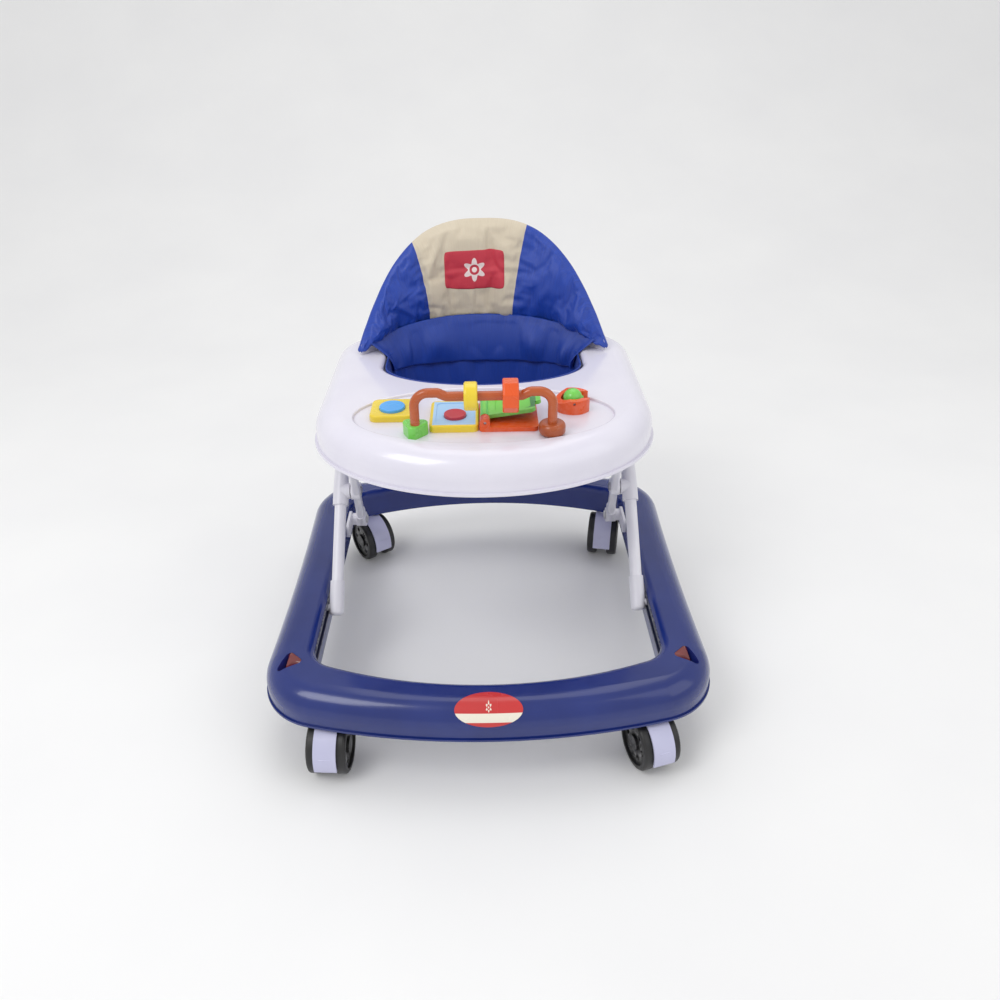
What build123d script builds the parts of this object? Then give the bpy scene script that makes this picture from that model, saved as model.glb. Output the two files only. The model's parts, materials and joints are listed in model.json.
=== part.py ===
from build123d import *
import os
from math import cos, radians, sin

# Baby walker on a closed ring base: four swivel casters, a scissor frame of two crossed
# leg pairs, a play tray with a fabric seat in its opening, and a wrap-around backrest.
# Frame: +Z up, floor at z = 0, the child faces -Y. Millimetres.
os.makedirs("parts", exist_ok=True)

# ---- base ring -------------------------------------------------------------------------
BASE_FRONT = -302.0
BASE_REAR = 302.0
BASE_HALF_W = 297.0
BASE_FRONT_CORNER = -252.0
BASE_REAR_CORNER = 268.0
BASE_WAIST = 6.0
BASE_BOTTOM = 80.0
BASE_TOP = 128.0
BASE_WALL = 3.0
RIM_FLANGE = 2.0
OUTER_ROUND = 30.0
INNER_ROUND = 12.0
REFLECTOR_X = 260.0
REFLECTOR_Y = -204.0
REFLECTOR_Z = 124.0
HOLE_HALF_W = 231.0
HOLE_FRONT = -247.0
HOLE_REAR = 264.0
HOLE_FRONT_CORNER = -198.0
HOLE_REAR_CORNER = 216.0
HOLE_CORNER_R = 40.0

# ---- casters ---------------------------------------------------------------------------
WHEEL_D = 73.0
WHEEL_W = 17.0
WHEEL_GAP = 17.0
WHEEL_HOLES = 6
CASTER_TRAIL = 15.0
HOOD_W = 29.0
STEM_R = 5.5
AXLE_R = 3.5
RUN_FIT = 0.05
# name: stem x, stem y, swivel angle of the wheels at rest
CASTERS = {
    "front_left": (-205.0, -247.0, -3.0),
    "front_right": (205.0, -247.0, 17.0),
    "rear_left": (-213.0, 240.0, 35.0),
    "rear_right": (213.0, 240.0, -12.0),
}

# ---- scissor frame ---------------------------------------------------------------------
LOWER_Z = 110.0
UPPER_Z = 360.0
REAR_PIVOT_Y = 170.0
FOOT_Y = -70.0
CROSS_Y = (REAR_PIVOT_Y + FOOT_Y) / 2
CROSS_Z = (LOWER_Z + UPPER_Z) / 2
INNER_LOW_X = 211.0
INNER_TOP_X = 176.0
INNER_CROSS_X = (INNER_LOW_X + INNER_TOP_X) / 2
OUTER_LOW_X = 218.5
OUTER_CROSS_X = 216.0
OUTER_TOP_X = 184.0
TUBE_R = 8.5
TUBE_WALL = 1.5
BAR_T = 11.0
BAR_W = 20.0
HEAD_HALF = 8.0
PIN_R = 4.0
SLIDE_PIN_R = 5.0
KNEE_ABOVE_CROSS = 60.0
RAIL_FRONT = 126.0
RAIL_REAR = 276.0
TRACK_FRONT = -184.0
TRACK_REAR = -12.0

# ---- tray ------------------------------------------------------------------------------
TRAY_HALF_W = 231.0
TRAY_FRONT = -157.0
TRAY_SIDE_START = 20.0
TRAY_REAR = 298.0
TRAY_CORNER_R = 75.0
TRAY_RIM_Z = 345.0
TRAY_TOP_Z = 396.0
TRAY_WALL = 3.0
TRAY_ROUND = 32.0
SEAT_HALF_W = 150.0
SEAT_FRONT = 70.0
SEAT_FRONT_C = 150.0
SEAT_REAR_C = 190.0
SEAT_REAR = 246.0
RECESS_Y = -29.0
RECESS_A = 172.0
RECESS_B = 84.0
RECESS_DEPTH = 4.0
FLOOR_Z = TRAY_TOP_Z - RECESS_DEPTH

# ---- seat and backrest -----------------------------------------------------------------
SLING_BOTTOM = 222.0
CLOTH = 3.0
BACK_C_Y = 150.0
SHELL_A = 204.0
SHELL_B = 112.0
SHELL_LEAN_X = 8.0
SHELL_LEAN_Y = 26.0
SHELL_T = 3.0
SHELL_END_Y = 172.0
LEAN_Z = 580.0
SHELL_INSET = 9.0
COVER_T = 9.0
COVER_TOP = 575.0
SHOULDER_X = 125.0
SHOULDER_Z = 529.0
HIP_X = 171.0
HIP_Z = 457.0
END_X = 196.0
END_Z = 410.0
COVER_LOW = 428.0
COVER_SIDE_LOW = 402.0

# ---- toys ------------------------------------------------------------------------------
ARCH_Y = -86.0
ARCH_HALF = 86.0
ARCH_R = 6.0
ARCH_DIP_Z = 446.0
ARCH_CREST_Z = 450.0
BEAD_BORE = 6.6
YELLOW_X = -15.5
YELLOW_R = 18.0
YELLOW_W = 17.0
ORANGE_X = 33.5
ORANGE_R = 21.5
ORANGE_W = 20.0
BOOK_FRONT = -77.0
BOOK_REAR = 2.0
HINGE_X = 1.5
HINGE_Z = 404.0
FLAP_REST = 8.0
SQUARE_X = -121.0
SQUARE_Y = -16.0
ROLLER_X = 119.0
ROLLER_Y = -8.0
ROLLER_R = 12.5
ROLLER_Z = FLOOR_Z + 15.0
TOY_PIN_R = 2.0
BUTTON_RISE = 4.0
BUTTON_TRAVEL = 3.0


def write(piece, name):
    """Label one finished piece and write its STEP file."""
    piece.label = name
    export_step(piece, f"parts/{name}.step")


def write_pair(left_piece, name):
    """Write a left piece and its mirror image on the right."""
    write(left_piece, f"{name}_left")
    write(mirror(left_piece, about=Plane.YZ), f"{name}_right")


# ---- outlines --------------------------------------------------------------------------
def bowed_frame(half_w, front, front_corner, rear, rear_corner, waist, radius):
    """Face of a four-sided outline with bowed ends, waisted sides and round corners."""
    with BuildSketch() as sk:
        with BuildLine():
            ThreePointArc((-half_w, front_corner), (0, front), (half_w, front_corner))
            mid_y = (front_corner + rear_corner) / 2
            ThreePointArc((half_w, front_corner), (half_w - waist, mid_y), (half_w, rear_corner))
            ThreePointArc((half_w, rear_corner), (0, rear), (-half_w, rear_corner))
            ThreePointArc((-half_w, rear_corner), (waist - half_w, mid_y), (-half_w, front_corner))
        make_face()
        fillet(sk.vertices(), radius)
    return sk.sketch


def base_outer(grow=0.0):
    """Face of the base ring's outer outline, grown or shrunk by an even margin."""
    with BuildSketch() as sk:
        add(bowed_frame(BASE_HALF_W, BASE_FRONT, BASE_FRONT_CORNER, BASE_REAR, BASE_REAR_CORNER, BASE_WAIST, 88))
        if grow:
            offset(amount=grow)
    return sk.sketch


def base_hole(grow=0.0):
    """Face of the opening inside the base ring, grown or shrunk by an even margin."""
    with BuildSketch() as sk:
        with BuildLine():
            ThreePointArc((-HOLE_HALF_W, HOLE_FRONT_CORNER), (0, HOLE_FRONT), (HOLE_HALF_W, HOLE_FRONT_CORNER))
            Line((HOLE_HALF_W, HOLE_FRONT_CORNER), (HOLE_HALF_W, HOLE_REAR_CORNER))
            ThreePointArc((HOLE_HALF_W, HOLE_REAR_CORNER), (0, HOLE_REAR), (-HOLE_HALF_W, HOLE_REAR_CORNER))
            Line((-HOLE_HALF_W, HOLE_REAR_CORNER), (-HOLE_HALF_W, HOLE_FRONT_CORNER))
        make_face()
        fillet(sk.vertices(), HOLE_CORNER_R)
        if grow:
            offset(amount=grow)
    return sk.sketch


def tray_outline(grow=0.0):
    """Face of the tray's outline: half ellipse in front, rounded corners at the rear."""
    half_w = TRAY_HALF_W + grow
    rear = TRAY_REAR + grow
    corner_r = TRAY_CORNER_R + grow
    corner_x = TRAY_HALF_W - TRAY_CORNER_R
    corner_y = TRAY_REAR - TRAY_CORNER_R
    with BuildSketch() as sk:
        with BuildLine():
            EllipticalCenterArc(
                (0, TRAY_SIDE_START), half_w, TRAY_SIDE_START - TRAY_FRONT + grow, start_angle=180, arc_size=180
            )
            Line((half_w, TRAY_SIDE_START), (half_w, corner_y))
            CenterArc((corner_x, corner_y), corner_r, 0, 90)
            Line((corner_x, rear), (-corner_x, rear))
            CenterArc((-corner_x, corner_y), corner_r, 90, 90)
            Line((-half_w, corner_y), (-half_w, TRAY_SIDE_START))
        make_face()
    return sk.sketch


def seat_outline(grow=0.0):
    """Face of the seat opening: elliptical front and rear ends joined by straight sides."""
    half_w = SEAT_HALF_W + grow
    with BuildSketch() as sk:
        with BuildLine():
            EllipticalCenterArc(
                (0, SEAT_FRONT_C), half_w, SEAT_FRONT_C - SEAT_FRONT + grow, start_angle=180, arc_size=180
            )
            Line((half_w, SEAT_FRONT_C), (half_w, SEAT_REAR_C))
            EllipticalCenterArc((0, SEAT_REAR_C), half_w, SEAT_REAR - SEAT_REAR_C + grow, start_angle=0, arc_size=180)
            Line((-half_w, SEAT_REAR_C), (-half_w, SEAT_FRONT_C))
        make_face()
    return sk.sketch


# ---- base ------------------------------------------------------------------------------
def base_body(grow=0.0):
    """Solid outer form of the base ring with its rounded edges."""
    with BuildPart() as body:
        with BuildSketch(Plane.XY.offset(BASE_BOTTOM)):
            add(base_outer(grow))
        extrude(amount=BASE_TOP - BASE_BOTTOM + grow)
        fillet(body.edges().group_by(Axis.Z)[-1], OUTER_ROUND + grow)
        with BuildSketch(Plane.XY.offset(BASE_BOTTOM)):
            add(base_hole(-grow))
        extrude(amount=BASE_TOP, mode=Mode.SUBTRACT)
        top_inner = body.faces().sort_by(Axis.Z)[-1].inner_wires()[0].edges()
        fillet(top_inner, INNER_ROUND + grow)
    return body.part


def reflector_plane(side=-1):
    """Plane of a reflector's window on the slope of a front corner: -1 left, 1 right."""
    origin = (side * REFLECTOR_X, REFLECTOR_Y, REFLECTOR_Z)
    return Plane(origin=origin, x_dir=(0.72, 0.69 * side, 0), z_dir=(0.42 * side, -0.44, 0.79))


def pick_outline(grow=0.0):
    """Rounded triangle of the reflector, with its point towards the floor."""
    with BuildSketch() as sk:
        with BuildLine():
            Polyline((-15, 13), (15, 13), (2, -21), close=True)
        make_face()
        fillet(sk.vertices(), 4.5)
        if grow:
            offset(amount=grow)
    return sk.sketch


def make_base():
    """Hollow ring moulding: open underside, rim flange, caster bosses and slots."""
    outer = base_body()
    pocket_plane = reflector_plane()
    pad_plane = pocket_plane.offset(-14)
    with BuildPart() as pad:
        with BuildSketch(pad_plane):
            add(pick_outline(3.0))
        extrude(amount=26)
        mirror(about=Plane.YZ)
        add(outer, mode=Mode.INTERSECT)
    with BuildPart() as base:
        add(outer)
        with BuildSketch(Plane.XY.offset(BASE_BOTTOM)):
            add(base_outer(-BASE_WALL))
            add(base_hole(BASE_WALL), mode=Mode.SUBTRACT)
        void_height = BASE_TOP - BASE_BOTTOM - BASE_WALL
        extrude(amount=void_height * 0.42, mode=Mode.SUBTRACT)
        with BuildSketch(Plane.XY.offset(BASE_BOTTOM)):
            add(base_outer(-BASE_WALL - 7))
            add(base_hole(BASE_WALL + 3), mode=Mode.SUBTRACT)
        extrude(amount=void_height * 0.78, mode=Mode.SUBTRACT)
        with BuildSketch(Plane.XY.offset(BASE_BOTTOM)):
            add(base_outer(-BASE_WALL - 18))
            add(base_hole(BASE_WALL + 9), mode=Mode.SUBTRACT)
        extrude(amount=void_height, mode=Mode.SUBTRACT)
        with BuildSketch(Plane.XY.offset(BASE_BOTTOM)):
            add(base_outer(RIM_FLANGE))
            add(base_outer(-BASE_WALL), mode=Mode.SUBTRACT)
        extrude(amount=3.0)
        for x, y, _ in CASTERS.values():
            with BuildSketch(Plane.XY.offset(BASE_BOTTOM)):
                with Locations((x, y)):
                    Circle(13)
            extrude(amount=BASE_TOP - BASE_BOTTOM - 4)
            with BuildSketch(Plane.XY.offset(BASE_BOTTOM)):
                with Locations((x, y)):
                    Circle(STEM_R + RUN_FIT)
            extrude(amount=34, mode=Mode.SUBTRACT)
        add(pad.part)
        for side in (-1, 1):
            track_y = (TRACK_FRONT + TRACK_REAR) / 2
            with Locations((side * (HOLE_HALF_W + 7), track_y, LOWER_Z)):
                Box(18, TRACK_REAR - TRACK_FRONT, 20, mode=Mode.SUBTRACT)
        with BuildSketch(pocket_plane.offset(-9)):
            add(pick_outline())
        extrude(amount=30, mode=Mode.SUBTRACT)
        with BuildSketch(reflector_plane(1).offset(-9)):
            add(mirror(pick_outline(), about=Plane.YZ))
        extrude(amount=30, mode=Mode.SUBTRACT)
    return base.part


def make_reflector():
    """Left reflector: a pick-shaped lens with a faceted crown."""
    plane = reflector_plane().offset(-9)
    with BuildPart() as lens:
        with BuildSketch(plane):
            add(pick_outline(-0.3))
        extrude(amount=5)
        with BuildSketch(plane.offset(5)):
            add(pick_outline(-0.3))
        with BuildSketch(plane.offset(10)):
            with BuildLine():
                Polyline((-4, 4), (4, 4), (0, -6), close=True)
            make_face()
        loft(ruled=True)
    return lens.part


def make_badge():
    """Oval badge, a thin skin that follows the round front of the base."""
    normal_plane = Plane(origin=(0, -287, 118), x_dir=(1, 0, 0), z_dir=(0, -0.72, 0.69))
    with BuildPart() as badge:
        with BuildSketch(normal_plane.offset(-16)):
            Ellipse(42, 21)
        extrude(amount=40)
        add(base_body(0.7), mode=Mode.INTERSECT)
        add(base_body(0.0), mode=Mode.SUBTRACT)
    return badge.part


def make_track():
    """Left slide track: the channel in the base wall in which the outer leg's pin runs."""
    track_y = (TRACK_FRONT + TRACK_REAR) / 2
    length = TRACK_REAR - TRACK_FRONT
    with BuildPart() as track:
        with Locations((-HOLE_HALF_W - 6.5, track_y, LOWER_Z)):
            Box(15, length - 0.4, 19.6)
        with Locations((-HOLE_HALF_W - 4, track_y, LOWER_Z)):
            Box(16, length - 8, 2 * SLIDE_PIN_R + 1.0, mode=Mode.SUBTRACT)
    return track.part


def make_slot_stops():
    """Pale height stops that clip to the wall just behind each slide track."""
    with BuildPart() as stops:
        with Locations((-HOLE_HALF_W + 2, TRACK_REAR + 7, LOWER_Z + 3)):
            Box(4, 10, 20)
        fillet(stops.edges().filter_by(Axis.X), 2)
        mirror(about=Plane.YZ)
    return stops.part


def make_leg_bracket():
    """Left bracket on the base wall that carries the inner leg's lower pivot."""
    wall_x = -HOLE_HALF_W
    with BuildPart() as bracket:
        with BuildSketch(Plane.YZ.offset(wall_x)):
            with Locations((REAR_PIVOT_Y - 16, LOWER_Z)):
                RectangleRounded(52, 26, 8)
        extrude(amount=4)
        with BuildSketch(Plane.YZ.offset(wall_x)):
            with Locations((REAR_PIVOT_Y, LOWER_Z)):
                Circle(10)
        extrude(amount=HOLE_HALF_W - INNER_LOW_X - 8.4)
        with BuildSketch(Plane.YZ.offset(wall_x)):
            with Locations((REAR_PIVOT_Y, LOWER_Z)):
                Circle(PIN_R)
        extrude(amount=30, mode=Mode.SUBTRACT)
    return bracket.part


def make_lower_pins():
    """Rivets of the inner legs' lower pivots, headed on the inside."""
    with BuildPart() as pins:
        with BuildSketch(Plane.YZ.offset(-HOLE_HALF_W)):
            with Locations((REAR_PIVOT_Y, LOWER_Z)):
                Circle(PIN_R)
        extrude(amount=HOLE_HALF_W - INNER_LOW_X + 8.4)
        with BuildSketch(Plane.YZ.offset(-INNER_LOW_X + 8.4)):
            with Locations((REAR_PIVOT_Y, LOWER_Z)):
                Circle(7)
        extrude(amount=2.2)
        mirror(about=Plane.YZ)
    return pins.part


# ---- casters ---------------------------------------------------------------------------
def caster_frame(name):
    """Plane at the stem on the floor, with -Y towards the wheels' side."""
    x, y, swivel = CASTERS[name]
    turn = radians(swivel)
    return Plane(origin=(x, y, 0), x_dir=(cos(turn), sin(turn), 0), z_dir=(0, 0, 1))


def make_caster_hood(frame):
    """Hood: round head, centre web down to the axle and a fender over the wheels."""
    radius = WHEEL_D / 2
    axle_at = frame.from_local_coords(Vector(0, -CASTER_TRAIL, radius))
    side = Plane(origin=axle_at, x_dir=-frame.y_dir, z_dir=-frame.x_dir)
    with BuildPart() as hood:
        with BuildSketch(side.offset(-WHEEL_GAP / 2 + 1.0)):
            Circle(10)
            with BuildLine():
                Polyline((-30, 42.5), (-4, 42.5), (radius + 3, 12), (radius - 2, -4), (-8, -8), (-30, 24), close=True)
            make_face()
        extrude(amount=WHEEL_GAP - 2.0)
        with BuildSketch(side.offset(-HOOD_W / 2)):
            with BuildLine():
                arc = CenterArc((0, 0), radius + 1.6, -12, 112)
                lip = CenterArc((0, 0), radius + 4.2, -12, 112)
                Line(arc @ 0, lip @ 0)
                Line(arc @ 1, lip @ 1)
            make_face()
        extrude(amount=HOOD_W)
        with BuildSketch(frame.offset(radius + 5.0)):
            Circle(HOOD_W / 2)
        extrude(amount=BASE_BOTTOM - radius - 6.0)
        with BuildSketch(side.offset(-HOOD_W / 2 - 1)):
            Circle(radius + 1.5)
        extrude(amount=HOOD_W / 2 + 1 - WHEEL_GAP / 2 + 1.0, mode=Mode.SUBTRACT)
        with BuildSketch(side.offset(WHEEL_GAP / 2 - 1.0)):
            Circle(radius + 1.5)
        extrude(amount=HOOD_W / 2 + 2 - WHEEL_GAP / 2, mode=Mode.SUBTRACT)
        with BuildSketch(side.offset(-WHEEL_GAP)):
            Circle(AXLE_R + RUN_FIT)
        extrude(amount=2 * WHEEL_GAP, mode=Mode.SUBTRACT)
        with BuildSketch(frame.offset(radius + 14.0)):
            Circle(STEM_R)
        extrude(amount=60, mode=Mode.SUBTRACT)
    return hood.part


def make_caster_stem(frame):
    """Steel stem: pressed in the hood, turning in the base's boss."""
    bottom = WHEEL_D / 2 + 14.0
    with BuildPart() as stem:
        with BuildSketch(frame.offset(bottom)):
            Circle(STEM_R)
        extrude(amount=BASE_BOTTOM + 32.0 - bottom)
        chamfer(stem.edges().group_by(Axis.Z)[-1], 1.2)
    return stem.part


def make_caster_axle(frame):
    """Steel axle through the hood, pressed in both wheels."""
    axle_at = frame.from_local_coords(Vector(0, -CASTER_TRAIL, WHEEL_D / 2))
    side = Plane(origin=axle_at, x_dir=-frame.y_dir, z_dir=-frame.x_dir)
    length = WHEEL_GAP + 2 * WHEEL_W - 8
    with BuildPart() as axle:
        with BuildSketch(side.offset(-length / 2)):
            Circle(AXLE_R)
        extrude(amount=length)
    return axle.part


def make_caster_wheels(frame):
    """Pair of moulded wheels with round tread edges and a ring of holes in the web."""
    radius = WHEEL_D / 2
    axle_at = frame.from_local_coords(Vector(0, -CASTER_TRAIL, radius))
    side = Plane(origin=axle_at, x_dir=-frame.y_dir, z_dir=-frame.x_dir)
    inner = WHEEL_GAP / 2
    outer = inner + WHEEL_W
    with BuildPart() as wheel:
        with BuildSketch(Plane.XZ):
            with BuildLine():
                Polyline((0, inner), (radius, inner), (radius, outer), (0, outer), close=True)
            make_face()
        revolve(axis=Axis.Z)
        rims = wheel.edges().filter_by(GeomType.CIRCLE).sort_by(SortBy.RADIUS)[-2:]
        fillet(rims, 4.0)
        with BuildSketch(Plane.XY.offset(outer - 3.5)):
            Circle(radius - 7)
            Circle(11, mode=Mode.SUBTRACT)
        extrude(amount=5, mode=Mode.SUBTRACT)
        with BuildSketch(Plane.XY.offset(inner)):
            with PolarLocations(20.5, WHEEL_HOLES):
                Circle(4.2)
        extrude(amount=30, mode=Mode.SUBTRACT)
        with BuildSketch(Plane.XY.offset(inner)):
            Circle(AXLE_R)
        extrude(amount=WHEEL_W - 4, mode=Mode.SUBTRACT)
        mirror(about=Plane.XY)
    return wheel.part.moved(side.location)


# ---- legs ------------------------------------------------------------------------------
def leg_plane(low, high):
    """Plane at the leg's lower pivot, +Z along the leg, X as near to world X as it can be."""
    along = (Vector(*high) - Vector(*low)).normalized()
    sideways = Vector(1, 0, 0) - along * along.X
    return Plane(origin=low, x_dir=sideways.normalized(), z_dir=along)


INNER_LOW = (-INNER_LOW_X, REAR_PIVOT_Y, LOWER_Z)
INNER_TOP = (-INNER_TOP_X, FOOT_Y, UPPER_Z)
OUTER_LOW = (-OUTER_LOW_X, FOOT_Y, LOWER_Z)
OUTER_CROSS = (-OUTER_CROSS_X, CROSS_Y, CROSS_Z)
OUTER_TOP = (-OUTER_TOP_X, REAR_PIVOT_Y, UPPER_Z)
OUTER_LOW_PLANE = leg_plane(OUTER_LOW, OUTER_CROSS)
OUTER_HALF = (Vector(*OUTER_CROSS) - Vector(*OUTER_LOW)).length
OUTER_KNEE = tuple(OUTER_LOW_PLANE.offset(OUTER_HALF + KNEE_ABOVE_CROSS).origin)
OUTER_CROSS_PLANE = OUTER_LOW_PLANE.offset(OUTER_HALF)
INNER_PLANE = leg_plane(INNER_LOW, INNER_TOP)
INNER_LENGTH = (Vector(*INNER_TOP) - Vector(*INNER_LOW)).length
SLEEVE_START = 14.0


def make_inner_leg():
    """Left inner leg: flat oval bar with a round hub at the crossing."""
    with BuildPart() as leg:
        with BuildSketch(INNER_PLANE.offset(SLEEVE_START)):
            SlotOverall(BAR_W, BAR_T, rotation=90)
        extrude(amount=INNER_LENGTH - 2 * SLEEVE_START)
        with BuildSketch(INNER_PLANE.offset(SLEEVE_START)):
            SlotOverall(BAR_W - 2 * TUBE_WALL, BAR_T - 2 * TUBE_WALL, rotation=90)
        extrude(amount=INNER_LENGTH - 2 * SLEEVE_START, mode=Mode.SUBTRACT)
        with BuildSketch(Plane.YZ.offset(-INNER_CROSS_X - 6.5)):
            with Locations((CROSS_Y, CROSS_Z)):
                Circle(13)
        extrude(amount=13)
        with BuildSketch(Plane.YZ.offset(-INNER_CROSS_X - 10)):
            with Locations((CROSS_Y, CROSS_Z)):
                Circle(PIN_R)
        extrude(amount=20, mode=Mode.SUBTRACT)
    return leg.part


def make_inner_feet():
    """Sockets on the inner legs' lower ends, bored for the base pivots."""
    with BuildPart() as feet:
        with BuildSketch(Plane.YZ.offset(-INNER_LOW_X - 8)):
            with Locations((REAR_PIVOT_Y, LOWER_Z)):
                Circle(12)
        extrude(amount=16)
        with BuildSketch(INNER_PLANE):
            SlotOverall(BAR_W + 4, BAR_T + 4, rotation=90)
        extrude(amount=44)
        with BuildSketch(INNER_PLANE.offset(SLEEVE_START)):
            SlotOverall(BAR_W, BAR_T, rotation=90)
        extrude(amount=60, mode=Mode.SUBTRACT)
        with BuildSketch(Plane.YZ.offset(-INNER_LOW_X - 20)):
            with Locations((REAR_PIVOT_Y, LOWER_Z)):
                Circle(PIN_R + RUN_FIT)
        extrude(amount=40, mode=Mode.SUBTRACT)
        mirror(about=Plane.YZ)
    return feet.part


def make_inner_heads():
    """Wide sockets on the inner legs' upper ends, bored for the tray pivots."""
    with BuildPart() as heads:
        with BuildSketch(INNER_PLANE.offset(INNER_LENGTH - 66)):
            SlotOverall(BAR_W + 4, BAR_T + 4, rotation=90)
        with BuildSketch(INNER_PLANE.offset(INNER_LENGTH)):
            SlotOverall(BAR_W + 4, BAR_T + 5, rotation=90)
        loft()
        with BuildSketch(Plane.YZ.offset(-INNER_TOP_X - HEAD_HALF)):
            with Locations((FOOT_Y, UPPER_Z)):
                Circle(12.5)
        extrude(amount=2 * HEAD_HALF)
        with BuildSketch(INNER_PLANE.offset(INNER_LENGTH - 80)):
            SlotOverall(BAR_W, BAR_T, rotation=90)
        extrude(amount=80 - SLEEVE_START, mode=Mode.SUBTRACT)
        with BuildSketch(Plane.YZ.offset(-INNER_TOP_X - 20)):
            with Locations((FOOT_Y, UPPER_Z)):
                Circle(PIN_R + RUN_FIT)
        extrude(amount=40, mode=Mode.SUBTRACT)
        mirror(about=Plane.YZ)
    return heads.part


def make_crossing_pins():
    """Rivets of the scissor crossing, fixed in the inner legs with a spacer collar."""
    hub_face = -INNER_CROSS_X - 6.5
    with BuildPart() as pins:
        with BuildSketch(Plane.YZ.offset(-OUTER_CROSS_X + 1)):
            with Locations((CROSS_Y, CROSS_Z)):
                Circle(PIN_R)
        extrude(amount=OUTER_CROSS_X - 1 - INNER_CROSS_X + 6.5)
        with BuildSketch(Plane.YZ.offset(-INNER_CROSS_X + 6.5)):
            with Locations((CROSS_Y, CROSS_Z)):
                Circle(7)
        extrude(amount=2)
        with BuildSketch(Plane.YZ.offset(hub_face - 1.6)):
            with Locations((CROSS_Y, CROSS_Z)):
                Circle(8)
        extrude(amount=1.6)
        mirror(about=Plane.YZ)
    return pins.part


def outer_path():
    """Centre line of the left outer leg: straight past the crossing, then leaning inwards."""
    with BuildLine() as path:
        FilletPolyline(OUTER_LOW, OUTER_KNEE, OUTER_TOP, radius=120)
    return path.wires()[0]


def outer_top_plane():
    """Plane at the outer leg's upper pin, +Z back down along the leg."""
    return Plane(origin=OUTER_TOP, z_dir=-(outer_path() % 1))


def make_outer_leg():
    """Left outer leg: steel tube from the base slide to the tray slide."""
    path = outer_path()
    with BuildPart() as leg:
        with BuildSketch(Plane(origin=path @ 0, z_dir=path % 0)):
            Circle(TUBE_R)
            Circle(TUBE_R - TUBE_WALL, mode=Mode.SUBTRACT)
        sweep(path=path)
    with BuildPart() as trimmed:
        add(leg.part)
        with BuildSketch(Plane.YZ.offset(-OUTER_CROSS_X - 1)):
            with Locations((CROSS_Y, CROSS_Z)):
                Circle(PIN_R + RUN_FIT)
        extrude(amount=20, mode=Mode.SUBTRACT)
        for plane in (OUTER_LOW_PLANE, outer_top_plane()):
            with BuildSketch(plane.offset(-10)):
                Circle(TUBE_R + 4)
            extrude(amount=10 + SLEEVE_START, mode=Mode.SUBTRACT)
    return trimmed.part


def make_outer_foot():
    """Left outer leg's foot: rounded sleeve with the pin that slides in the track."""
    with BuildPart() as foot:
        with BuildSketch(OUTER_LOW_PLANE.offset(-12)):
            Circle(TUBE_R + 2)
        extrude(amount=50)
        fillet(foot.edges().sort_by(Axis.Z)[0], 5)
        with BuildSketch(OUTER_LOW_PLANE.offset(SLEEVE_START)):
            Circle(TUBE_R)
        extrude(amount=50, mode=Mode.SUBTRACT)
        with BuildSketch(Plane.YZ.offset(-HOLE_HALF_W - 11)):
            with Locations((FOOT_Y, LOWER_Z)):
                Circle(SLIDE_PIN_R)
        extrude(amount=HOLE_HALF_W + 11 - OUTER_LOW_X)
    return foot.part


def make_knuckle():
    """Left knuckle: a tapered sleeve on the outer leg with the crossing's bearing boss."""
    boss_face = -INNER_CROSS_X - 6.5 - 1.8
    with BuildPart() as knuckle:
        with BuildSketch(OUTER_CROSS_PLANE.offset(-22)):
            Circle(TUBE_R + 3)
        extrude(amount=26)
        with BuildSketch(OUTER_CROSS_PLANE.offset(4)):
            Circle(TUBE_R + 3)
        with BuildSketch(OUTER_CROSS_PLANE.offset(44)):
            Circle(TUBE_R + 1.4)
        loft()
        with BuildSketch(Plane.YZ.offset(-OUTER_CROSS_X)):
            with Locations((CROSS_Y, CROSS_Z)):
                Circle(12)
        extrude(amount=OUTER_CROSS_X + boss_face)
    with BuildPart() as bored:
        add(knuckle.part)
        with BuildSketch(OUTER_LOW_PLANE):
            Circle(TUBE_R)
        extrude(amount=OUTER_HALF + KNEE_ABOVE_CROSS, mode=Mode.SUBTRACT)
        with BuildSketch(Plane.YZ.offset(-OUTER_CROSS_X)):
            with Locations((CROSS_Y, CROSS_Z)):
                Circle(PIN_R + RUN_FIT)
        extrude(amount=20, mode=Mode.SUBTRACT)
    return bored.part


def make_outer_heads():
    """Sleeves on the outer legs' upper ends with the pins that slide in the tray rails."""
    top_plane = outer_top_plane()
    with BuildPart() as heads:
        with BuildSketch(top_plane.offset(-6)):
            Circle(TUBE_R + 1.2)
        extrude(amount=42)
        with BuildSketch(top_plane.offset(SLEEVE_START)):
            Circle(TUBE_R)
        extrude(amount=50, mode=Mode.SUBTRACT)
        with BuildSketch(Plane.YZ.offset(-OUTER_TOP_X)):
            with Locations((REAR_PIVOT_Y, UPPER_Z)):
                Circle(SLIDE_PIN_R)
        extrude(amount=OUTER_TOP_X - 164.5)
        mirror(about=Plane.YZ)
    return heads.part


# ---- tray ------------------------------------------------------------------------------
def recess_outline(grow=0.0):
    """Oval of the toy recess."""
    with BuildSketch() as sk:
        with Locations((0, RECESS_Y)):
            Ellipse(RECESS_A + grow, RECESS_B + grow)
    return sk.sketch


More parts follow.
